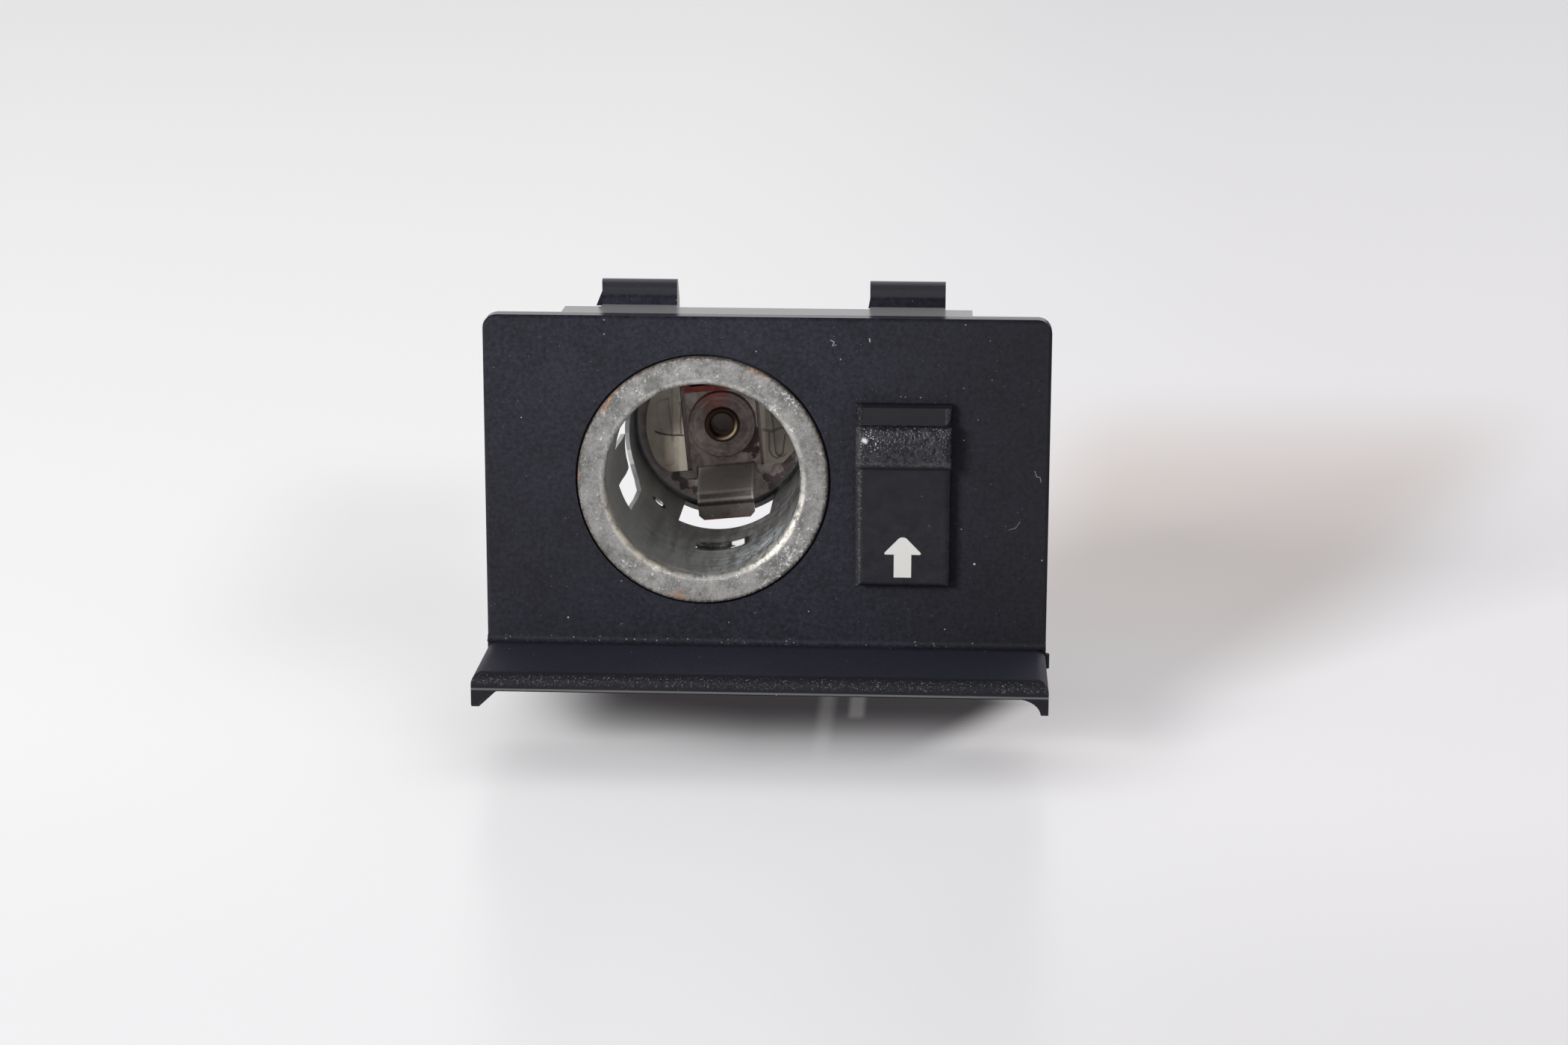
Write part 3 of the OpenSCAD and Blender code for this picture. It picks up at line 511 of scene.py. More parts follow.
def dust(m):
    """Pale specks of three sizes; the smallest lie in drifts."""
    small = m.specks(0.42, 0.2, 0.16) * m.cloud(3, 3, seed=4).above(0.38, 0.62) * 0.22
    middling = m.specks(1.5, 0.3, 0.07) * 0.5
    large = m.specks(3.9, 0.22, 0.034, at=m.moved(0.7, 0, 0.3))
    return small.most(middling, large)


def lint(m):
    """Hairs, a row of dust and two lone crumbs on the plate's front."""
    hairs = [m.path(points, width, wobble) * share for points, width, wobble, share in HAIRS]
    row = m.path(DUST_ABOVE_BUTTON, 0.12, 0.1) * m.specks(0.3, 0.6, 0.3) * 0.8
    crumbs = [m.spot(29.8, PLATE_FRONT, -9.0, 0.16), m.spot(-15.0, PLATE_FRONT, -15.75, 0.13)]
    on_front = m.y.below(PLATE_FRONT + 0.05, PLATE_FRONT + 0.15)
    return row.most(*hairs, *crumbs) * on_front


print("hairs:", len(HAIRS))

# %% [markdown]
# ## Panel plastic
# The grain is a bump of two noises. The ledge, the hooks and the plate's upper edge carry no
# grain, and they are smoother, so they mirror the bright room at a low angle. The ledge's top is
# also painted pale, a painted reflection, and the hooks are painted lighter, as painted light.
# The shelf's rounded lip is scuffed, and its band of pale sparkle is that scuffing together with
# painted highlights; the thin pale line at its lower edge is a painted highlight.


# %% Panel plastic
def black_plastic(name, dusty=1.0, grain=1.0, base=PANEL_BLACK):
    m = Finish(name)
    crease = m.z.near(SHELF_TOP + 0.4, 0.15, 0.4) * m.specks(0.42, 0.5, 0.24) * 0.45
    scuffed = m.y.below(SHELF_FRONT + 0.4, SHELF_FRONT + 0.9) * m.z.near(
        SHELF_TOP - 0.7, 0.35, 0.75)
    glitter_and_highlight = m.specks(0.24, 0.22, 0.34) + m.cloud(0.2, 2, 0.7, seed=6).above(0.56, 0.68)
    lip_highlight_line = m.y.below(SHELF_FRONT + 0.2, SHELF_FRONT + 0.4) * m.z.near(
        SHELF_TOP - 1.75, 0.05, 0.16)
    ledge_top_painted_sheen = m.z.above(PLATE_TOP - 0.7, PLATE_TOP - 0.2) * m.y.above(-0.6, -0.2) * m.faces_up()
    hooks_painted_light = m.z.above(PLATE_TOP + 0.9, PLATE_TOP + 1.3)
    # Painted light: the lip's sparkle in part, its highlight line, the ledge's pale top and the
    # hooks' lighter tone.
    colour = m.coats(
        moulded_black_painted_light(m, base),
        ((dust(m) * dusty).most(lint(m) * 0.7, crease * dusty) * 0.8, (0.5, 0.49, 0.48)),
        ((glitter_and_highlight * scuffed).least(1.0) * 0.32, (0.24, 0.235, 0.24)),
        (lip_highlight_line * 0.16, (0.5, 0.5, 0.5)),
        (ledge_top_painted_sheen * dusty, (0.205, 0.205, 0.213)),
        (hooks_painted_light * 0.8, (0.03, 0.03, 0.036)))
    fine = m.cloud(0.17, 2, 0.6)
    coarse = m.cells(0.36, feature="SMOOTH_F1")
    plain = m.y.above(-0.4, 0.0).most(m.z.above(PLATE_TOP - 0.4, PLATE_TOP - 0.1))
    rough = 0.54 + 0.12 * m.cloud(3, 3, seed=2)
    height = (fine * 0.6 + coarse * 0.4) * (1 - 0.85 * plain) + scuffed * coarse
    return m.finish(
        colour, rough - (rough - 0.26) * plain, bump=height, depth=0.035 * grain, IOR=1.28)


panel_plastic = black_plastic("panel_plastic")
hidden_plastic = black_plastic("hidden_plastic", dusty=0.5, grain=0.5)
collar_plastic = black_plastic("collar_plastic", dusty=0.3, grain=0.3, base=COLLAR_BLACK)
dress(panel_plastic, "face_plate")
dress(hidden_plastic, "slide_cover", "latch_slide")
dress(collar_plastic, "retaining_collar")

# %% [markdown]
# ## Release button's grip
# The button's face is worn smooth. Its thumb ridge and its long edges are coarsely
# grained for grip, and the grains catch the left lamp as bright points. The coarse grain
# is a Voronoi bump that is let in only where the grip is. Bright points that small are
# lost in the bump alone, so they are in the colour too.

# %% Button's grip
BUTTON_X, BUTTON_HALF = 21.95, 5.2
RIDGE_FOOT, RIDGE_TOP = 2.0, 6.8
button = Finish("button_plastic")
on_ridge = button.z.above(RIDGE_FOOT, RIDGE_FOOT + 0.6) * button.z.below(
    RIDGE_TOP - 0.3, RIDGE_TOP + 0.2)
on_left = button.x.below(BUTTON_X - BUTTON_HALF + 0.45, BUTTON_X - BUTTON_HALF + 0.8)
on_right = button.x.above(BUTTON_X + BUTTON_HALF - 0.8, BUTTON_X + BUTTON_HALF - 0.4)
gripped = on_ridge.most(on_left, on_right * 0.5)
grains = button.cells(0.27, feature="SMOOTH_F1")
grip_height = grains * gripped + button.cloud(0.15, 3) * (0.1 + 0.35 * gripped)
lamp_side = button.spot(18.3, -6.0, 5.2, radius=2.4, soft=0.9)
near_top = button.z.above(RIDGE_TOP - 1.2, RIDGE_TOP - 0.2)
ridge_glitter = on_ridge * (0.25 + lamp_side * 1.5 + near_top * 0.4)
sparkle = button.specks(0.26, 0.45, 0.34) * on_left.most(ridge_glitter)
print("ridge from", RIDGE_FOOT, "to", RIDGE_TOP, "mm")

# %% [markdown]
# ## Release button's face
# The smooth face is rubbed paler at its lower end and carries a little dust. Its left edge is
# painted lighter, a painted highlight. The ridge has one painted glint at its left end, a painted
# shade line along its top edge and a painted highlight line at its foot, and there is a reddish
# chip above it.

# %% Button's face
button_mottle = button.cloud(1.6, 4).above(0.3, 0.7)
rubbed = button.z.below(-4.5, -1.5) * button.cloud(0.8, 5, 0.7, seed=2).above(0.42, 0.7)
button_dust = (button.specks(0.8, 0.06, 0.08) * 0.5).most(button.specks(1.9, 0.12, 0.045))
glint = button.spot(17.75, -5.59, 5.3, radius=0.5, soft=0.9, wobble=0.7)
ridge_foot_highlight = button.z.above(RIDGE_FOOT + 0.1, RIDGE_FOOT + 0.3) * button.z.below(
    RIDGE_FOOT + 0.8, RIDGE_FOOT + 1.1)
ridge_mottle = on_ridge * button.cloud(0.6, 3, seed=7).above(0.4, 0.62)
chip = button.spot(24.1, -4.2, 8.5, radius=0.3, soft=0.5, wobble=0.4)
button_tone = button.coats(
    (0.0045, 0.005, 0.0075),
    (button_mottle, (0.0085, 0.0087, 0.0125)),
    (rubbed * 0.5, (0.016, 0.015, 0.02)),
    # Dust with the grip's painted highlights, then a painted highlight on the left edge, the
    # painted glint, painted shade at the ridge's top and a painted highlight at its foot.
    (button_dust.most(sparkle) * 0.6, (0.45, 0.45, 0.46)),
    (on_left * 0.5, (0.04, 0.04, 0.043)),
    (glint * 0.65, (0.8, 0.8, 0.8)),
    (button.z.above(RIDGE_TOP - 0.2, RIDGE_TOP + 0.1) * 0.6, (0.002, 0.002, 0.003)),
    (ridge_foot_highlight * 0.2, (0.09, 0.09, 0.09)),
    (ridge_mottle * 0.14, (0.12, 0.12, 0.13)),
    (chip * 0.6, (0.14, 0.035, 0.035)))
button_plastic = button.finish(
    button_tone, 0.42 - 0.1 * gripped, bump=grip_height, depth=0.085, IOR=1.32)
dress(button_plastic, "release_button")

# %% [markdown]
# ## Arrow
# The arrow is an inlay of its own, in a matt white plastic that has greyed a little. Its
# shape is in the solid, so the finish is only a faint mottle and a fine bump.

# %% Arrow
arrow = Finish("white_arrow")
arrow_tone = arrow.mix(
    arrow.cloud(0.5, 4).above(0.5, 0.85) * 0.3, (0.47, 0.464, 0.45), (0.43, 0.42, 0.4))
dress(arrow.finish(arrow_tone, 0.55, bump=arrow.cloud(0.2), depth=0.01), "arrow_inlay")

# %% [markdown]
# ## Socket's ring
# The socket is drawn from zinc-plated sheet, and one material does it all: the depth
# along Y tells the ring from the tube. On the ring the plating has oxidised into pale and
# dark grey blotches. Three noises of different sizes are added and cut by a smooth step,
# which gives blotches with uneven edges. The chalky bloom over them is thicker in four
# places. The ring's left and right sides are a little darker.

# %% Ring's plating
RING_FRONT, TUBE_RADIUS = -2.9, 10.7
CHALKY = (
    (8.5, 9.5, 6.0, 0.05), (9.5, -9.0, 6.5, 0.055), (-6.0, -11.5, 5.0, 0.025),
    (-8.0, 9.5, 5.0, 0.02))
zinc = Finish("zinc_plated_sheet")
ring = zinc.y.below(-2.5, -0.6)
grit = zinc.cloud(0.24, 3, 0.75, seed=1)
blotches = zinc.cloud(1.1, 6, 0.8) * 0.45 + zinc.cloud(3.6, 4, 0.6, seed=4) * 0.3 + grit * 0.25
worn = blotches.above(0.41, 0.6)
chalk = zinc.cloud(1.3, 5, 0.85, seed=9) * 0.5 + zinc.cloud(0.3, 3, 0.8, seed=12) * 0.5
chalk = (chalk + zinc.patches(RING_FRONT, CHALKY)).above(0.565, 0.635)
# The ring's darker left and right sides are painted shade.
ring_shade = zinc.x.below(-13, -5) * 0.16 + zinc.x.above(5, 13) * 0.11
ring_tone = zinc.coats(
    (0.128, 0.128, 0.123),
    (worn, (0.325, 0.32, 0.31)),
    (chalk * 0.72, (0.68, 0.68, 0.66)),
    (ring_shade, (0.02, 0.02, 0.02)))
print("chalky places:", len(CHALKY))

# %% [markdown]
# ## Socket's tube
# Inside, the tube is cleaner, bluer and smoother than the ring, with scuffs along it from
# lighters pushed home. Scuffs are a noise that is stretched along Y, and faint bands one that is
# stretched across. A bluish oxide lies low at the right of the mouth, and a dark smudge low at
# the left. The colour is also painted lighter towards the left wall and darker at the right, as
# painted light and shade.

# %% Tube's plating
scuffs = zinc.cloud(1.0, 4, 0.65, at=zinc.stretched(1, 0.12, 1), seed=3)
bands = zinc.cloud(1.6, 4, 0.6, at=zinc.stretched(0.3, 1.6, 0.3), seed=5)
tube_mottle = (scuffs * 0.6 + bands * 0.4).above(0.38, 0.62)
left_painted_light = (zinc.x / TUBE_RADIUS).below(-0.9, 1.0)
oxide = zinc.spot(6.5, 3.5, -8.5, 6.5, 0.8) * zinc.cloud(0.9, 5, 0.75, seed=16).above(0.43, 0.57)
smudge = zinc.spot(-5.5, 8.0, -8.9, 4.0, 0.9) * zinc.cloud(1.2, 5, 0.7, seed=6).above(0.45, 0.65)
tube_tone = zinc.coats(
    (0.255, 0.264, 0.262),
    (tube_mottle, (0.5, 0.505, 0.495)),
    # Painted light towards the left wall and painted shade at the right.
    (left_painted_light * 0.9, (0.45, 0.465, 0.465)),
    (zinc.x.above(4, 9) * 0.45, (0.1, 0.1, 0.1)),
    (oxide * 0.8, (0.62, 0.69, 0.73)),
    (smudge * 0.55, (0.13, 0.13, 0.13)))
print("tube of", 2 * TUBE_RADIUS, "mm")

# %% [markdown]
# ## Slit and small hole
# A slit crosses the tube's floor. The dark band round it is painted shade that widens the slit's
# dark look, and its right end is painted white, as painted light shining through. Further in, a
# small hole sits in a shallow hollow; the hollow's paler tone is painted light and the hole's
# dark edge painted shade. The openings are in the solid, and those marks are drawn in the colour.
# The whole socket sits slightly turned in the plate, so one function gives the turned directions,
# and the clip uses it again.

# %% Slit and small hole
SOCKET_TURN = math.radians(5.5)


def turned(m):
    """Places across and up, as the turned socket has them."""
    cosine, sine = math.cos(SOCKET_TURN), math.sin(SOCKET_TURN)
    return m.x * cosine + m.z * sine, m.z * cosine - m.x * sine


SLIT_FRONT, SLIT_BACK = 9.8, 11.8
across = turned(zinc)[0]
tube_floor = zinc.z.below(-9.6, -9.2)
by_slit = zinc.y.above(SLIT_FRONT - 1.2, SLIT_FRONT - 0.5) * zinc.y.below(
    SLIT_BACK + 0.2, SLIT_BACK + 0.8)
slit_painted_shade = by_slit * across.near(0.4, 2.6, 3.4) * tube_floor
slit_painted_shade = slit_painted_shade * zinc.cloud(0.6, 4, 0.7, seed=14).above(0.3, 0.5)
in_slit = zinc.y.above(SLIT_FRONT - 0.6, SLIT_FRONT - 0.3) * zinc.y.below(
    SLIT_BACK + 0.2, SLIT_BACK + 0.5)
slit_painted_bright_end = in_slit * across.above(1.15, 1.3) * across.below(2.6, 2.75) * tube_floor
hollow_painted_light = zinc.spot(-7.3, 20.9, -7.8, radius=2.2, soft=0.4)
hole_edge_painted_shade = zinc.spot(-7.05, 20.8, -8.05, radius=1.2, soft=0.3)
floor_tone = zinc.coats(
    tube_tone,
    # Painted shade round the slit and at the hole's edge, painted light at the slit's end and on
    # the hollow.
    (slit_painted_shade * 0.9, (0.02, 0.018, 0.017)),
    (slit_painted_bright_end * 0.9, (0.95, 0.95, 0.95)),
    (hollow_painted_light * 0.4, (0.4, 0.4, 0.39)),
    (hole_edge_painted_shade, (0.02, 0.02, 0.02)))
print("socket turned by", round(math.degrees(SOCKET_TURN), 1), "degrees")

# %% [markdown]
# ## Lip and rust
# The rolled lip between ring and tube is polished by use, and where it faces the lamps it carries
# a painted highlight, pale at the lower right and browner at the lower left. Rust has come
# through at the ring's rim and in a few patches. A noise decides where it breaks out, and a bias
# that grows at the rim and at those patches pushes it over the step.

# %% Lip and rust
RUSTY = (
    (-10.3, 9.2, 3.2, 0.2), (6.2, 12.2, 2.4, 0.16), (-2.4, -13.3, 2.8, 0.18),
    (-13.5, 0.2, 1.6, 0.12), (13.1, 4.7, 2.0, 0.13), (13.6, -4.4, 1.6, 0.13),
    (-7.0, -8.9, 2.2, 0.1))
zinc_radius = zinc.from_axis()
lip = zinc_radius.below(11.15, 11.5) * zinc.y.below(-1.6, 0.2)
lip_painted_highlight = lip * zinc.cloud(0.8, 4, 0.7, seed=2).above(0.36, 0.56)
low_down = zinc.z.below(-4.0, 1.0)
rim = zinc_radius.above(12.9, 13.7) * ring
rust_noise = zinc.cloud(0.8, 6, 0.75, seed=7) * 0.6 + zinc.cloud(2.6, 3, 0.5, seed=8) * 0.4
rust = (rust_noise + 0.06 * rim + zinc.patches(RING_FRONT, RUSTY)).above(0.66, 0.73) * ring
rust_tone = zinc.mix(
    zinc.cloud(0.35, 3).above(0.3, 0.7), (0.12, 0.055, 0.03), (0.32, 0.175, 0.1))
rim_dots = zinc_radius.above(13.25, 13.6) * zinc.cloud(0.4, 4, 0.7, seed=11).above(0.44, 0.56)
zinc_tone = zinc.coats(
    floor_tone,
    (ring, ring_tone),
    # Painted highlight on the lip, paler at the lower right and browner at the lower left.
    (lip_painted_highlight * (0.12 + 0.5 * zinc.x.above(3.0, 8.0) * low_down), (0.95, 0.9, 0.8)),
    (lip_painted_highlight * zinc.x.below(-6.0, 0.0) * low_down * 0.35, (0.5, 0.42, 0.3)),
    (rust * 0.75, rust_tone),
    (rim_dots * ring * 0.8, (0.075, 0.045, 0.03)))
print("rusty places:", len(RUSTY))

# %% [markdown]
# ## Socket's finish
# Bare plating is metal. The weathered ring, its chalk and rust, the tube's scuffs and oxide, the
# lip's painted highlight and the slit's painted bright end are less so, and each takes its share
# from the metallic value. The ring is rougher than the tube, and the lip is smoother.

# %% Socket's finish
not_metal = (
    ring * (0.3 + 0.35 * chalk) + 0.6 * rust * ring + 0.3 * lip_painted_highlight
    + 0.35 * tube_mottle * (1 - ring) + slit_painted_bright_end + 0.5 * oxide)
zinc_rough = 0.42 + ring * (0.12 + 0.12 * worn) + 0.1 * grit - 0.12 * lip
zinc_height = (worn * 0.4 + grit * 0.6) * (0.3 + 0.7 * ring) * (1 - 0.6 * lip)
zinc_sheet = zinc.finish(
    zinc_tone, zinc_rough, (1 - not_metal).most(0.0), bump=zinc_height, depth=0.03)
dress(zinc_sheet, "socket_shell")

# %% [markdown]
# ## Base disc
# The disc in the socket's bottom is a brown laminate. Hot lighters have burnt it in dark
# spots, low at both sides. As with the rust, a noise gets a bias at each spot, so that
# the burns have ragged edges.

# %% Base disc
DISC_FRONT = 29.2
BURN_SPREAD, BURN_STRENGTH = 1.6, 0.28
BURNS = (
    (-5.8, -6.5, 0.7), (-4.9, -7.2, 0.7), (-4.6, -7.7, 0.6), (-3.6, -6.7, 0.5),
    (-3.3, -8.3, 0.6), (5.1, -6.4, 0.6), (6.0, -7.1, 0.9), (6.6, -8.2, 0.9), (7.3, -6.6, 1.0),
    (8.2, -5.2, 1.2), (7.6, -4.4, 0.8))
disc = Finish("burnt_laminate")
disc_mottle = disc.cloud(1.0, 5, 0.65)
char = disc.cloud(0.7, 4, 0.65, seed=2) + disc.patches(
    DISC_FRONT, [(x, z, size * BURN_SPREAD, BURN_STRENGTH) for x, z, size in BURNS])
disc_tone = disc.coats(
    (0.31, 0.245, 0.235),
    (disc_mottle.above(0.3, 0.7), (0.48, 0.41, 0.4)),
    (char.above(0.62, 0.72) * 0.75, (0.03, 0.012, 0.014)))
dress(disc.finish(disc_tone, 0.55, bump=disc_mottle, depth=0.03), "base_disc")

# %% [markdown]
# ## Rear insulator and fibre plate
# The insulator behind the socket is a laminate too, darker and unburnt. A sliver of red
# fibre shows at the top of the disc, redder in some places and browner in others.

# %% Insulator and red fibre
board = Finish("brown_laminate")
board_tone = board.mix(
    board.cloud(0.8, 4).above(0.3, 0.7), (0.05, 0.028, 0.018), (0.085, 0.05, 0.03))
dress(board.finish(board_tone, 0.4, bump=board.cloud(0.3), depth=0.01), "rear_insulator")
fibre = Finish("red_fibre")
fibre_tone = fibre.mix(
    fibre.cloud(0.9, 4).above(0.35, 0.7), (0.36, 0.04, 0.015), (0.14, 0.025, 0.02))
dress(fibre.finish(fibre_tone, 0.5, bump=fibre.cloud(0.25), depth=0.015), "fibre_plate")

# %% [markdown]
# ## Ceramic blocks
# Two cream ceramic blocks flank the clip. They are sooty, the left one has a crack and
# the right one a hooked line and a streak. The lines are short paths that wobble a little.
# Only the crack is deep enough to go into the bump as well. The right block is the darker
# one, and both are palest at their inner edges.

# %% Ceramic blocks
ceramic = Finish("cream_ceramic")
ceramic_mottle = ceramic.cloud(1.8, 4).above(0.3, 0.7)
soot = ceramic.cloud(1.3, 5, 0.7, seed=3).above(0.58, 0.78)
strip_edge = ceramic.path([(-5.9, 4.2), (-5.95, 0.5), (-5.9, -2.0)], 0.3, 0.2)
crack = ceramic.path(
    [(-7.9, -0.9), (-7.2, -1.25), (-6.2, -1.4), (-5.2, -1.3), (-4.6, -1.35)], 0.17, 0.12)
mark = ceramic.path([(-4.95, 2.6), (-4.8, 1.6), (-4.95, 0.2), (-4.85, -1.2)], 0.2, 0.2)
hook = ceramic.path(
    [(5.6, -0.6), (5.62, -3.0), (6.0, -3.7), (6.6, -3.95), (7.2, -3.4), (7.45, -1.2)],
    0.16, 0.12)
streak = ceramic.path([(4.9, -0.5), (6.0, -0.7), (7.4, -0.2), (8.4, 0.4)], 0.3, 0.35)
ceramic_tone = ceramic.coats(
    (0.38, 0.325, 0.265),
    (ceramic_mottle, (0.5, 0.44, 0.36)),
    (soot * 0.5, (0.14, 0.12, 0.1)),
    (ceramic.x.above(3.0, 5.0) * 0.5, (0.16, 0.13, 0.1)),
    (ceramic.x.near(0, 4.9, 5.3) * 0.6, (0.66, 0.6, 0.5)),
    (strip_edge * 0.35, (0.1, 0.085, 0.07)),
    (crack.most(mark * 0.7, hook * 0.75, streak * 0.6) * 0.9, (0.03, 0.018, 0.016)))
cream_ceramic = ceramic.finish(
    ceramic_tone, 0.55, bump=ceramic.cloud(0.4, 3) - 0.8 * crack, depth=0.03)
dress(cream_ceramic, "left_ceramic_block", "right_ceramic_block")

# %% [markdown]
# ## Contact clip's fingers
# The clip is spring steel. Its strip lies on the disc, and its fingers stand forward, fold and
# end in a tip. Each stretch of a finger takes the light in its own way, and that light and shade
# is painted in the colour with masks along the turned strip: painted light on the stretch next to
# the strip, painted shade on the one beyond it, a painted highlight line and a painted shadow
# line, painted highlights on the sides and a lighter painted face towards the tip. The two lines
# lie where the photograph has the fold, a little beyond the solid's.

# %% Clip's fingers
FINGER_FOLD, FINGER_TIP, FINGER_HALF = 7.3, 10.2, 3.3
FOLD_HIGHLIGHT, FOLD_SHADOW = 7.85, 8.35
clip = Finish("heat_stained_steel")
sideways, lengthwise = turned(clip)
drop = lengthwise.abs()
finger = clip.y.below(28.2, 28.6)
before_fold = drop.below(FINGER_FOLD - 0.2, FINGER_FOLD)
upper_painted_light = finger * before_fold
lower_painted_shade = finger * (1 - before_fold) * drop.below(8.0, 8.15)
finger_side_highlight = finger * sideways.abs().above(FINGER_HALF - 0.35, FINGER_HALF - 0.15)
finger_tone = clip.coats(
    (0.13, 0.1, 0.09),
    (clip.cloud(1.4, 5, 0.65).above(0.34, 0.66), (0.27, 0.235, 0.22)),
    # Painted light and shade on the finger's stretches, its fold lines and its sides.
    (upper_painted_light * 0.7, (0.52, 0.48, 0.465)),
    (lower_painted_shade * 0.6, (0.17, 0.145, 0.14)),
    (finger * drop.near(FOLD_HIGHLIGHT, 0.05, 0.25) * 0.55, (0.6, 0.57, 0.55)),
    (finger_side_highlight * drop.below(8.0, 8.2) * 0.6, (0.62, 0.6, 0.58)),
    (finger * drop.above(8.4, 8.6) * 0.5, (0.25, 0.23, 0.21)),
    (finger * drop.near(FOLD_SHADOW, 0.12, 0.3) * 0.85, (0.04, 0.03, 0.028)))
print("clip's fingers toned")

# %% [markdown]
# ## Contact clip's heat stains
# Heat has left dark dirt at the lower right of the middle, pale salty specks and rusty
# tips. Dirt is rougher and less metallic than the bare steel, and salt and rust are less
# metallic too.

# %% Clip's stains
CLIP_FRONT = 28.5
STAIN_STRENGTH = 0.26
STAINED = ((2.9, -2.0, 1.6), (3.8, -3.2, 1.5), (4.2, -1.2, 1.4), (2.6, -3.0, 1.0))
dirt_noise = clip.cloud(0.8, 5, 0.7, seed=4) + clip.patches(
    CLIP_FRONT, [(*place, STAIN_STRENGTH) for place in STAINED])
dirt = dirt_noise.above(0.62, 0.7)
salt = clip.specks(0.26, 0.22, 0.24) * clip.cloud(1.3, 3, seed=8).above(0.44, 0.58)
rusty = clip.cloud(0.5, 4, seed=2).above(0.35, 0.5)
tip = drop.above(FINGER_TIP - 0.35, FINGER_TIP - 0.15) * rusty
clip_tone = clip.coats(
    finger_tone,
    (dirt * 0.85, (0.05, 0.018, 0.02)),
    (salt * (0.35 + 0.5 * finger), (0.72, 0.7, 0.68)),
    (tip * 0.85, (0.2, 0.07, 0.035)))
clip_metallic = (0.92 - 0.7 * dirt - 0.5 * salt).most(0.0) * (1 - tip) * (1 - 0.5 * upper_painted_light)
clip_steel = clip.finish(
    clip_tone, 0.36 + 0.25 * dirt, clip_metallic, bump=clip.cloud(0.3, 4, 0.6), depth=0.025)
dress(clip_steel, "contact_clip")

# %% [markdown]
# ## Dished washer
# The washer under the rivet is stained brown, with two redder patches above its middle and a
# broken pale ring where it bends, which is a painted highlight.

# %% Dished washer
washer = Finish("brown_stained_washer")
redness = washer.spot(-1.2, 28.3, 2.2, 2.6, 0.9) * washer.cloud(0.9, 4, seed=3).above(0.35, 0.6)
upper_red = washer.spot(-0.9, 28.3, 4.4, 3.6, 0.8) * washer.cloud(0.8, 4, seed=6).above(0.3, 0.5)
bend_highlight = washer.from_axis().near(3.2, 0.05, 0.25) * washer.cloud(1.2, 3, seed=5).above(0.4, 0.6)
washer_tone = washer.coats(
    (0.13, 0.095, 0.085),
    (washer.cloud(1.0, 5, 0.65).above(0.3, 0.7), (0.25, 0.205, 0.195)),
    (redness * 0.7, (0.15, 0.045, 0.03)),
    (upper_red * 0.65, (0.38, 0.075, 0.05)),
    # Painted highlight where the washer bends.
    (bend_highlight * 0.5, (0.35, 0.31, 0.29)))
washer_steel = washer.finish(
    washer_tone, 0.5, 0.3, bump=washer.cloud(0.3, 4, 0.6), depth=0.02)
dress(washer_steel, "dished_washer")

# %% [markdown]
# ## Brass rivet and supply blade
# The hollow rivet is brass. In front it is tarnished nearly black, and the front away from the
# light is painted darker still as shade. The lower right of its bore carries a painted highlight,
# and the bottom of its bore is painted pale, as painted light. The supply blade behind the socket
# is the same brass, clean, so the tarnish ends with the depth.

# %% Brass
RIVET_RADIUS, BORE_RADIUS = 1.75, 1.35
brass = Finish("tarnished_brass")
brass_radius = brass.from_axis()
bore_painted_highlight = (brass.x * 0.7 - brass.z * 0.7).above(0.3, 1.7)
in_front = brass.y.below(31.6, 32.4)
flange_tarnish_and_shade = brass_radius.above(RIVET_RADIUS - 0.03, RIVET_RADIUS + 0.05)
flange_tarnish_and_shade = flange_tarnish_and_shade.most(1 - bore_painted_highlight) * brass.y.below(30.5, 31.0)
bore_bottom_painted_light = brass_radius.below(BORE_RADIUS + 0.01, BORE_RADIUS + 0.07) * brass.y.above(28.4, 29.6)
# Painted highlight at the bore's lower right, painted shade over the rest of the front with the
# tarnish, painted light at the bore's bottom.
brass_tone = brass.coats(
    (0.55, 0.37, 0.15),
    (brass.cloud(0.7, 4).above(0.35, 0.7), (0.25, 0.15, 0.08)),
    (in_front * 0.6, (0.06, 0.035, 0.028)),
    (bore_painted_highlight * 0.8, (0.95, 0.78, 0.5)),
    (flange_tarnish_and_shade * 0.93, (0.06, 0.035, 0.028)),
    (bore_bottom_painted_light * 0.95, (0.4, 0.33, 0.33)))
tarnished_brass = brass.finish(
    brass_tone, 0.3 + 0.4 * bore_bottom_painted_light.most(flange_tarnish_and_shade * 0.7), 1 - 0.7 * bore_bottom_painted_light,
    bump=brass.cloud(0.3, 3), depth=0.01)
dress(tarnished_brass, "centre_rivet", "supply_terminal")

# %% [markdown]
# ## Plain plated steel
# Behind the panel, the screws, the spring, the rear washer and the earth blade are plainly
# zinc-plated. They are clean, so one bright steel with a faint mottle serves them all.

# %% Plated steel
steel = Finish("plated_steel")
steel_tone = steel.mix(
    steel.cloud(0.9, 4).above(0.3, 0.7), (0.46, 0.46, 0.44), (0.62, 0.62, 0.6))
plated_steel = steel.finish(
    steel_tone, 0.3 + 0.1 * steel.cloud(0.5), 1.0, bump=steel.cloud(0.15), depth=0.005)
dress(
    plated_steel, "earth_terminal", "rear_washer", "cover_screws", "slide_screw",
    "return_spring")
bare = [name for name, o in nodes.items() if not o.data.materials]
print("nodes without a finish:", bare)

# %% [markdown]
# ## Return spring
# The spring is the one piece that changes its shape as the button slides. Its upper end
# stays in the panel, and the slide pushes its lower end up. A solid can't be squeezed, so
# a coil of the same size stands for it. Its end turns are closed, wire on wire, and the
# turns between them are open. First comes the height of the wire along its turns.

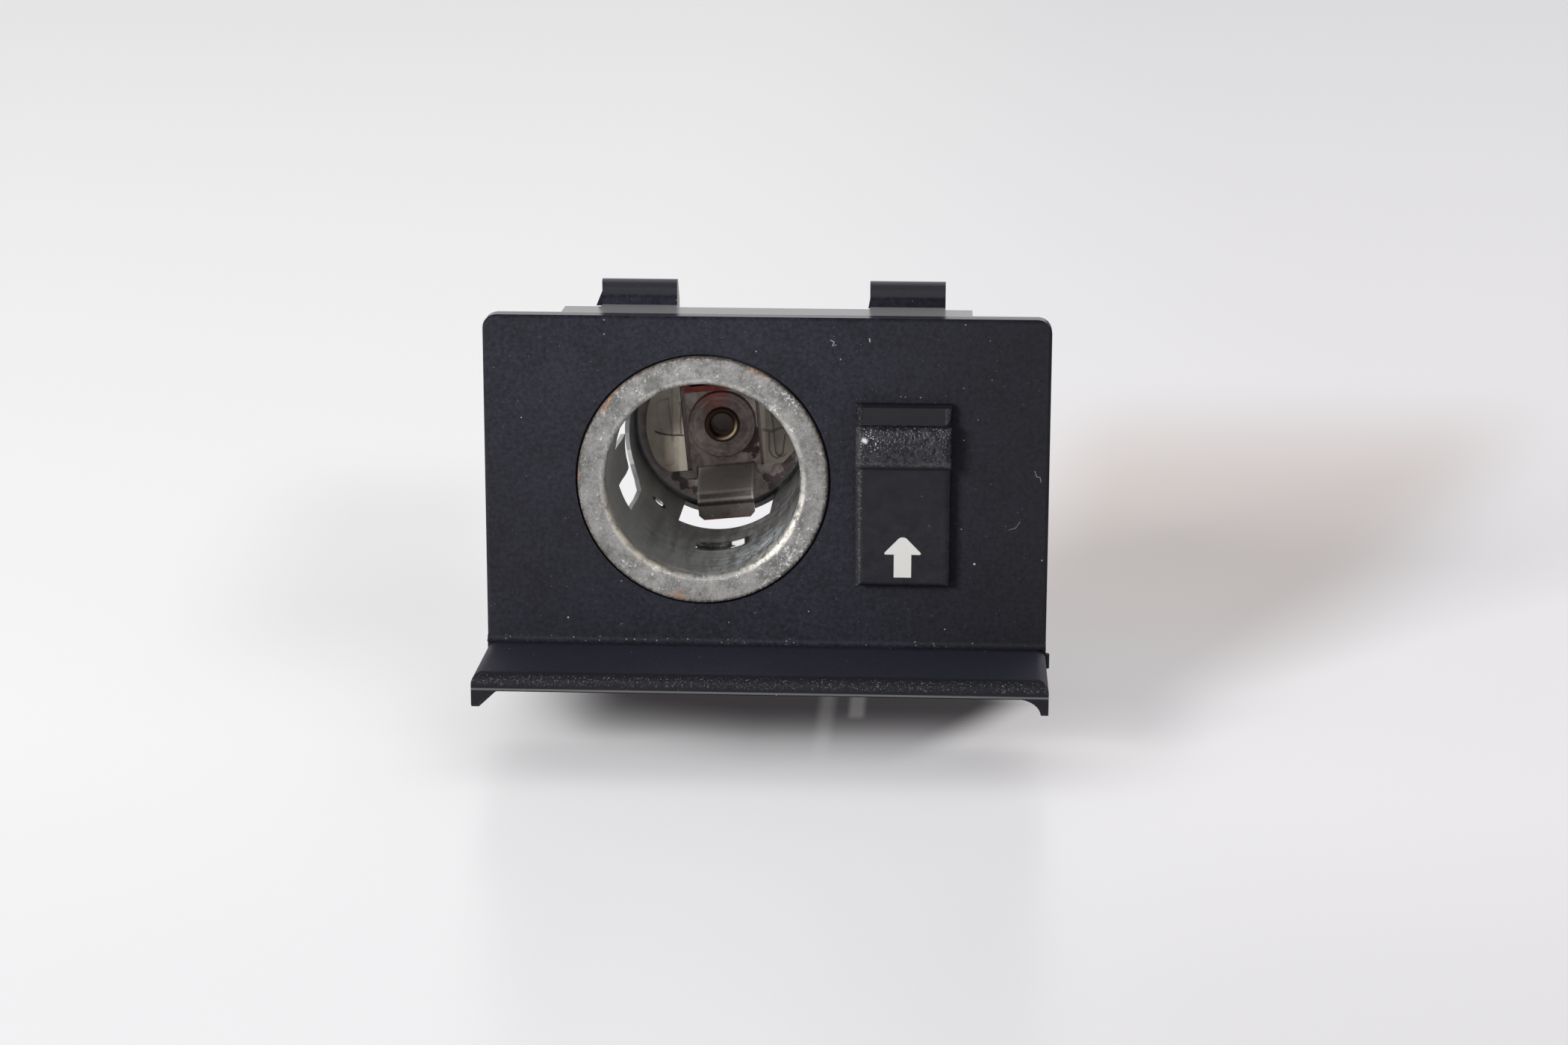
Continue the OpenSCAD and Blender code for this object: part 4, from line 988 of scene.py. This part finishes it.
# %% Spring's measures
WIRE, TURNS, STEPS, SIDES = 0.44, 5.5, 32, 12
CLOSED_PITCH = WIRE * 1.03
low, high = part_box("return_spring")
axis_x, axis_y = (low[0] + high[0]) / 2, (low[1] + high[1]) / 2
spring_radius = (high[0] - low[0]) / MM / 2
spring_length = (high[2] - low[2]) / MM
climb = spring_length - WIRE
open_pitch = (climb - 2 * CLOSED_PITCH) / (TURNS - 2)


def wire_height(turns):
    """How far the wire has climbed after a number of turns."""
    if turns > TURNS - 1:
        return climb - CLOSED_PITCH * (TURNS - turns)
    if turns > 1:
        return CLOSED_PITCH + open_pitch * (turns - 1)
    return CLOSED_PITCH * turns


print("spring of", round(spring_length, 2), "mm, open pitch", round(open_pitch, 2), "mm")

# %% [markdown]
# ## Coil
# A round section is swept along the helix by hand, section by section, because that gives
# even quads and needs no curve object. The two ends are closed by a flat face each.

# %% Coil's mesh
points = []
for step in range(round(TURNS * STEPS) + 1):
    turns = step / STEPS
    angle = 2 * math.pi * turns
    for side in range(SIDES):
        round_wire = 2 * math.pi * side / SIDES
        out = (spring_radius - WIRE / 2 + WIRE / 2 * math.cos(round_wire)) * MM
        rise = (wire_height(turns) + WIRE / 2 + WIRE / 2 * math.sin(round_wire)) * MM
        points.append((
            axis_x + out * math.cos(angle), axis_y + out * math.sin(angle), low[2] + rise))
last_section = len(points) - SIDES
faces = [tuple(range(SIDES)), tuple(reversed(range(last_section, len(points))))]
for first in range(0, last_section, SIDES):
    for side in range(SIDES):
        after = (side + 1) % SIDES
        faces.append((
            first + SIDES + side, first + SIDES + after, first + after, first + side))
spring_mesh = bpy.data.meshes.new("coil_spring")
spring_mesh.from_pydata(points, [], faces)
spring_mesh.polygons.foreach_set("use_smooth", [len(face) == 4 for face in faces])
spring_mesh.materials.append(plated_steel)
print("coil with", len(faces), "faces")

# %% [markdown]
# ## Placing the coil
# The coil stays with the panel and takes the solid's place.

# %% Coil in place
spring = bpy.data.objects.new("coil_spring", spring_mesh)
bpy.context.scene.collection.objects.link(spring)
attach(spring, "panel")
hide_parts("return_spring")
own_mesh(spring)
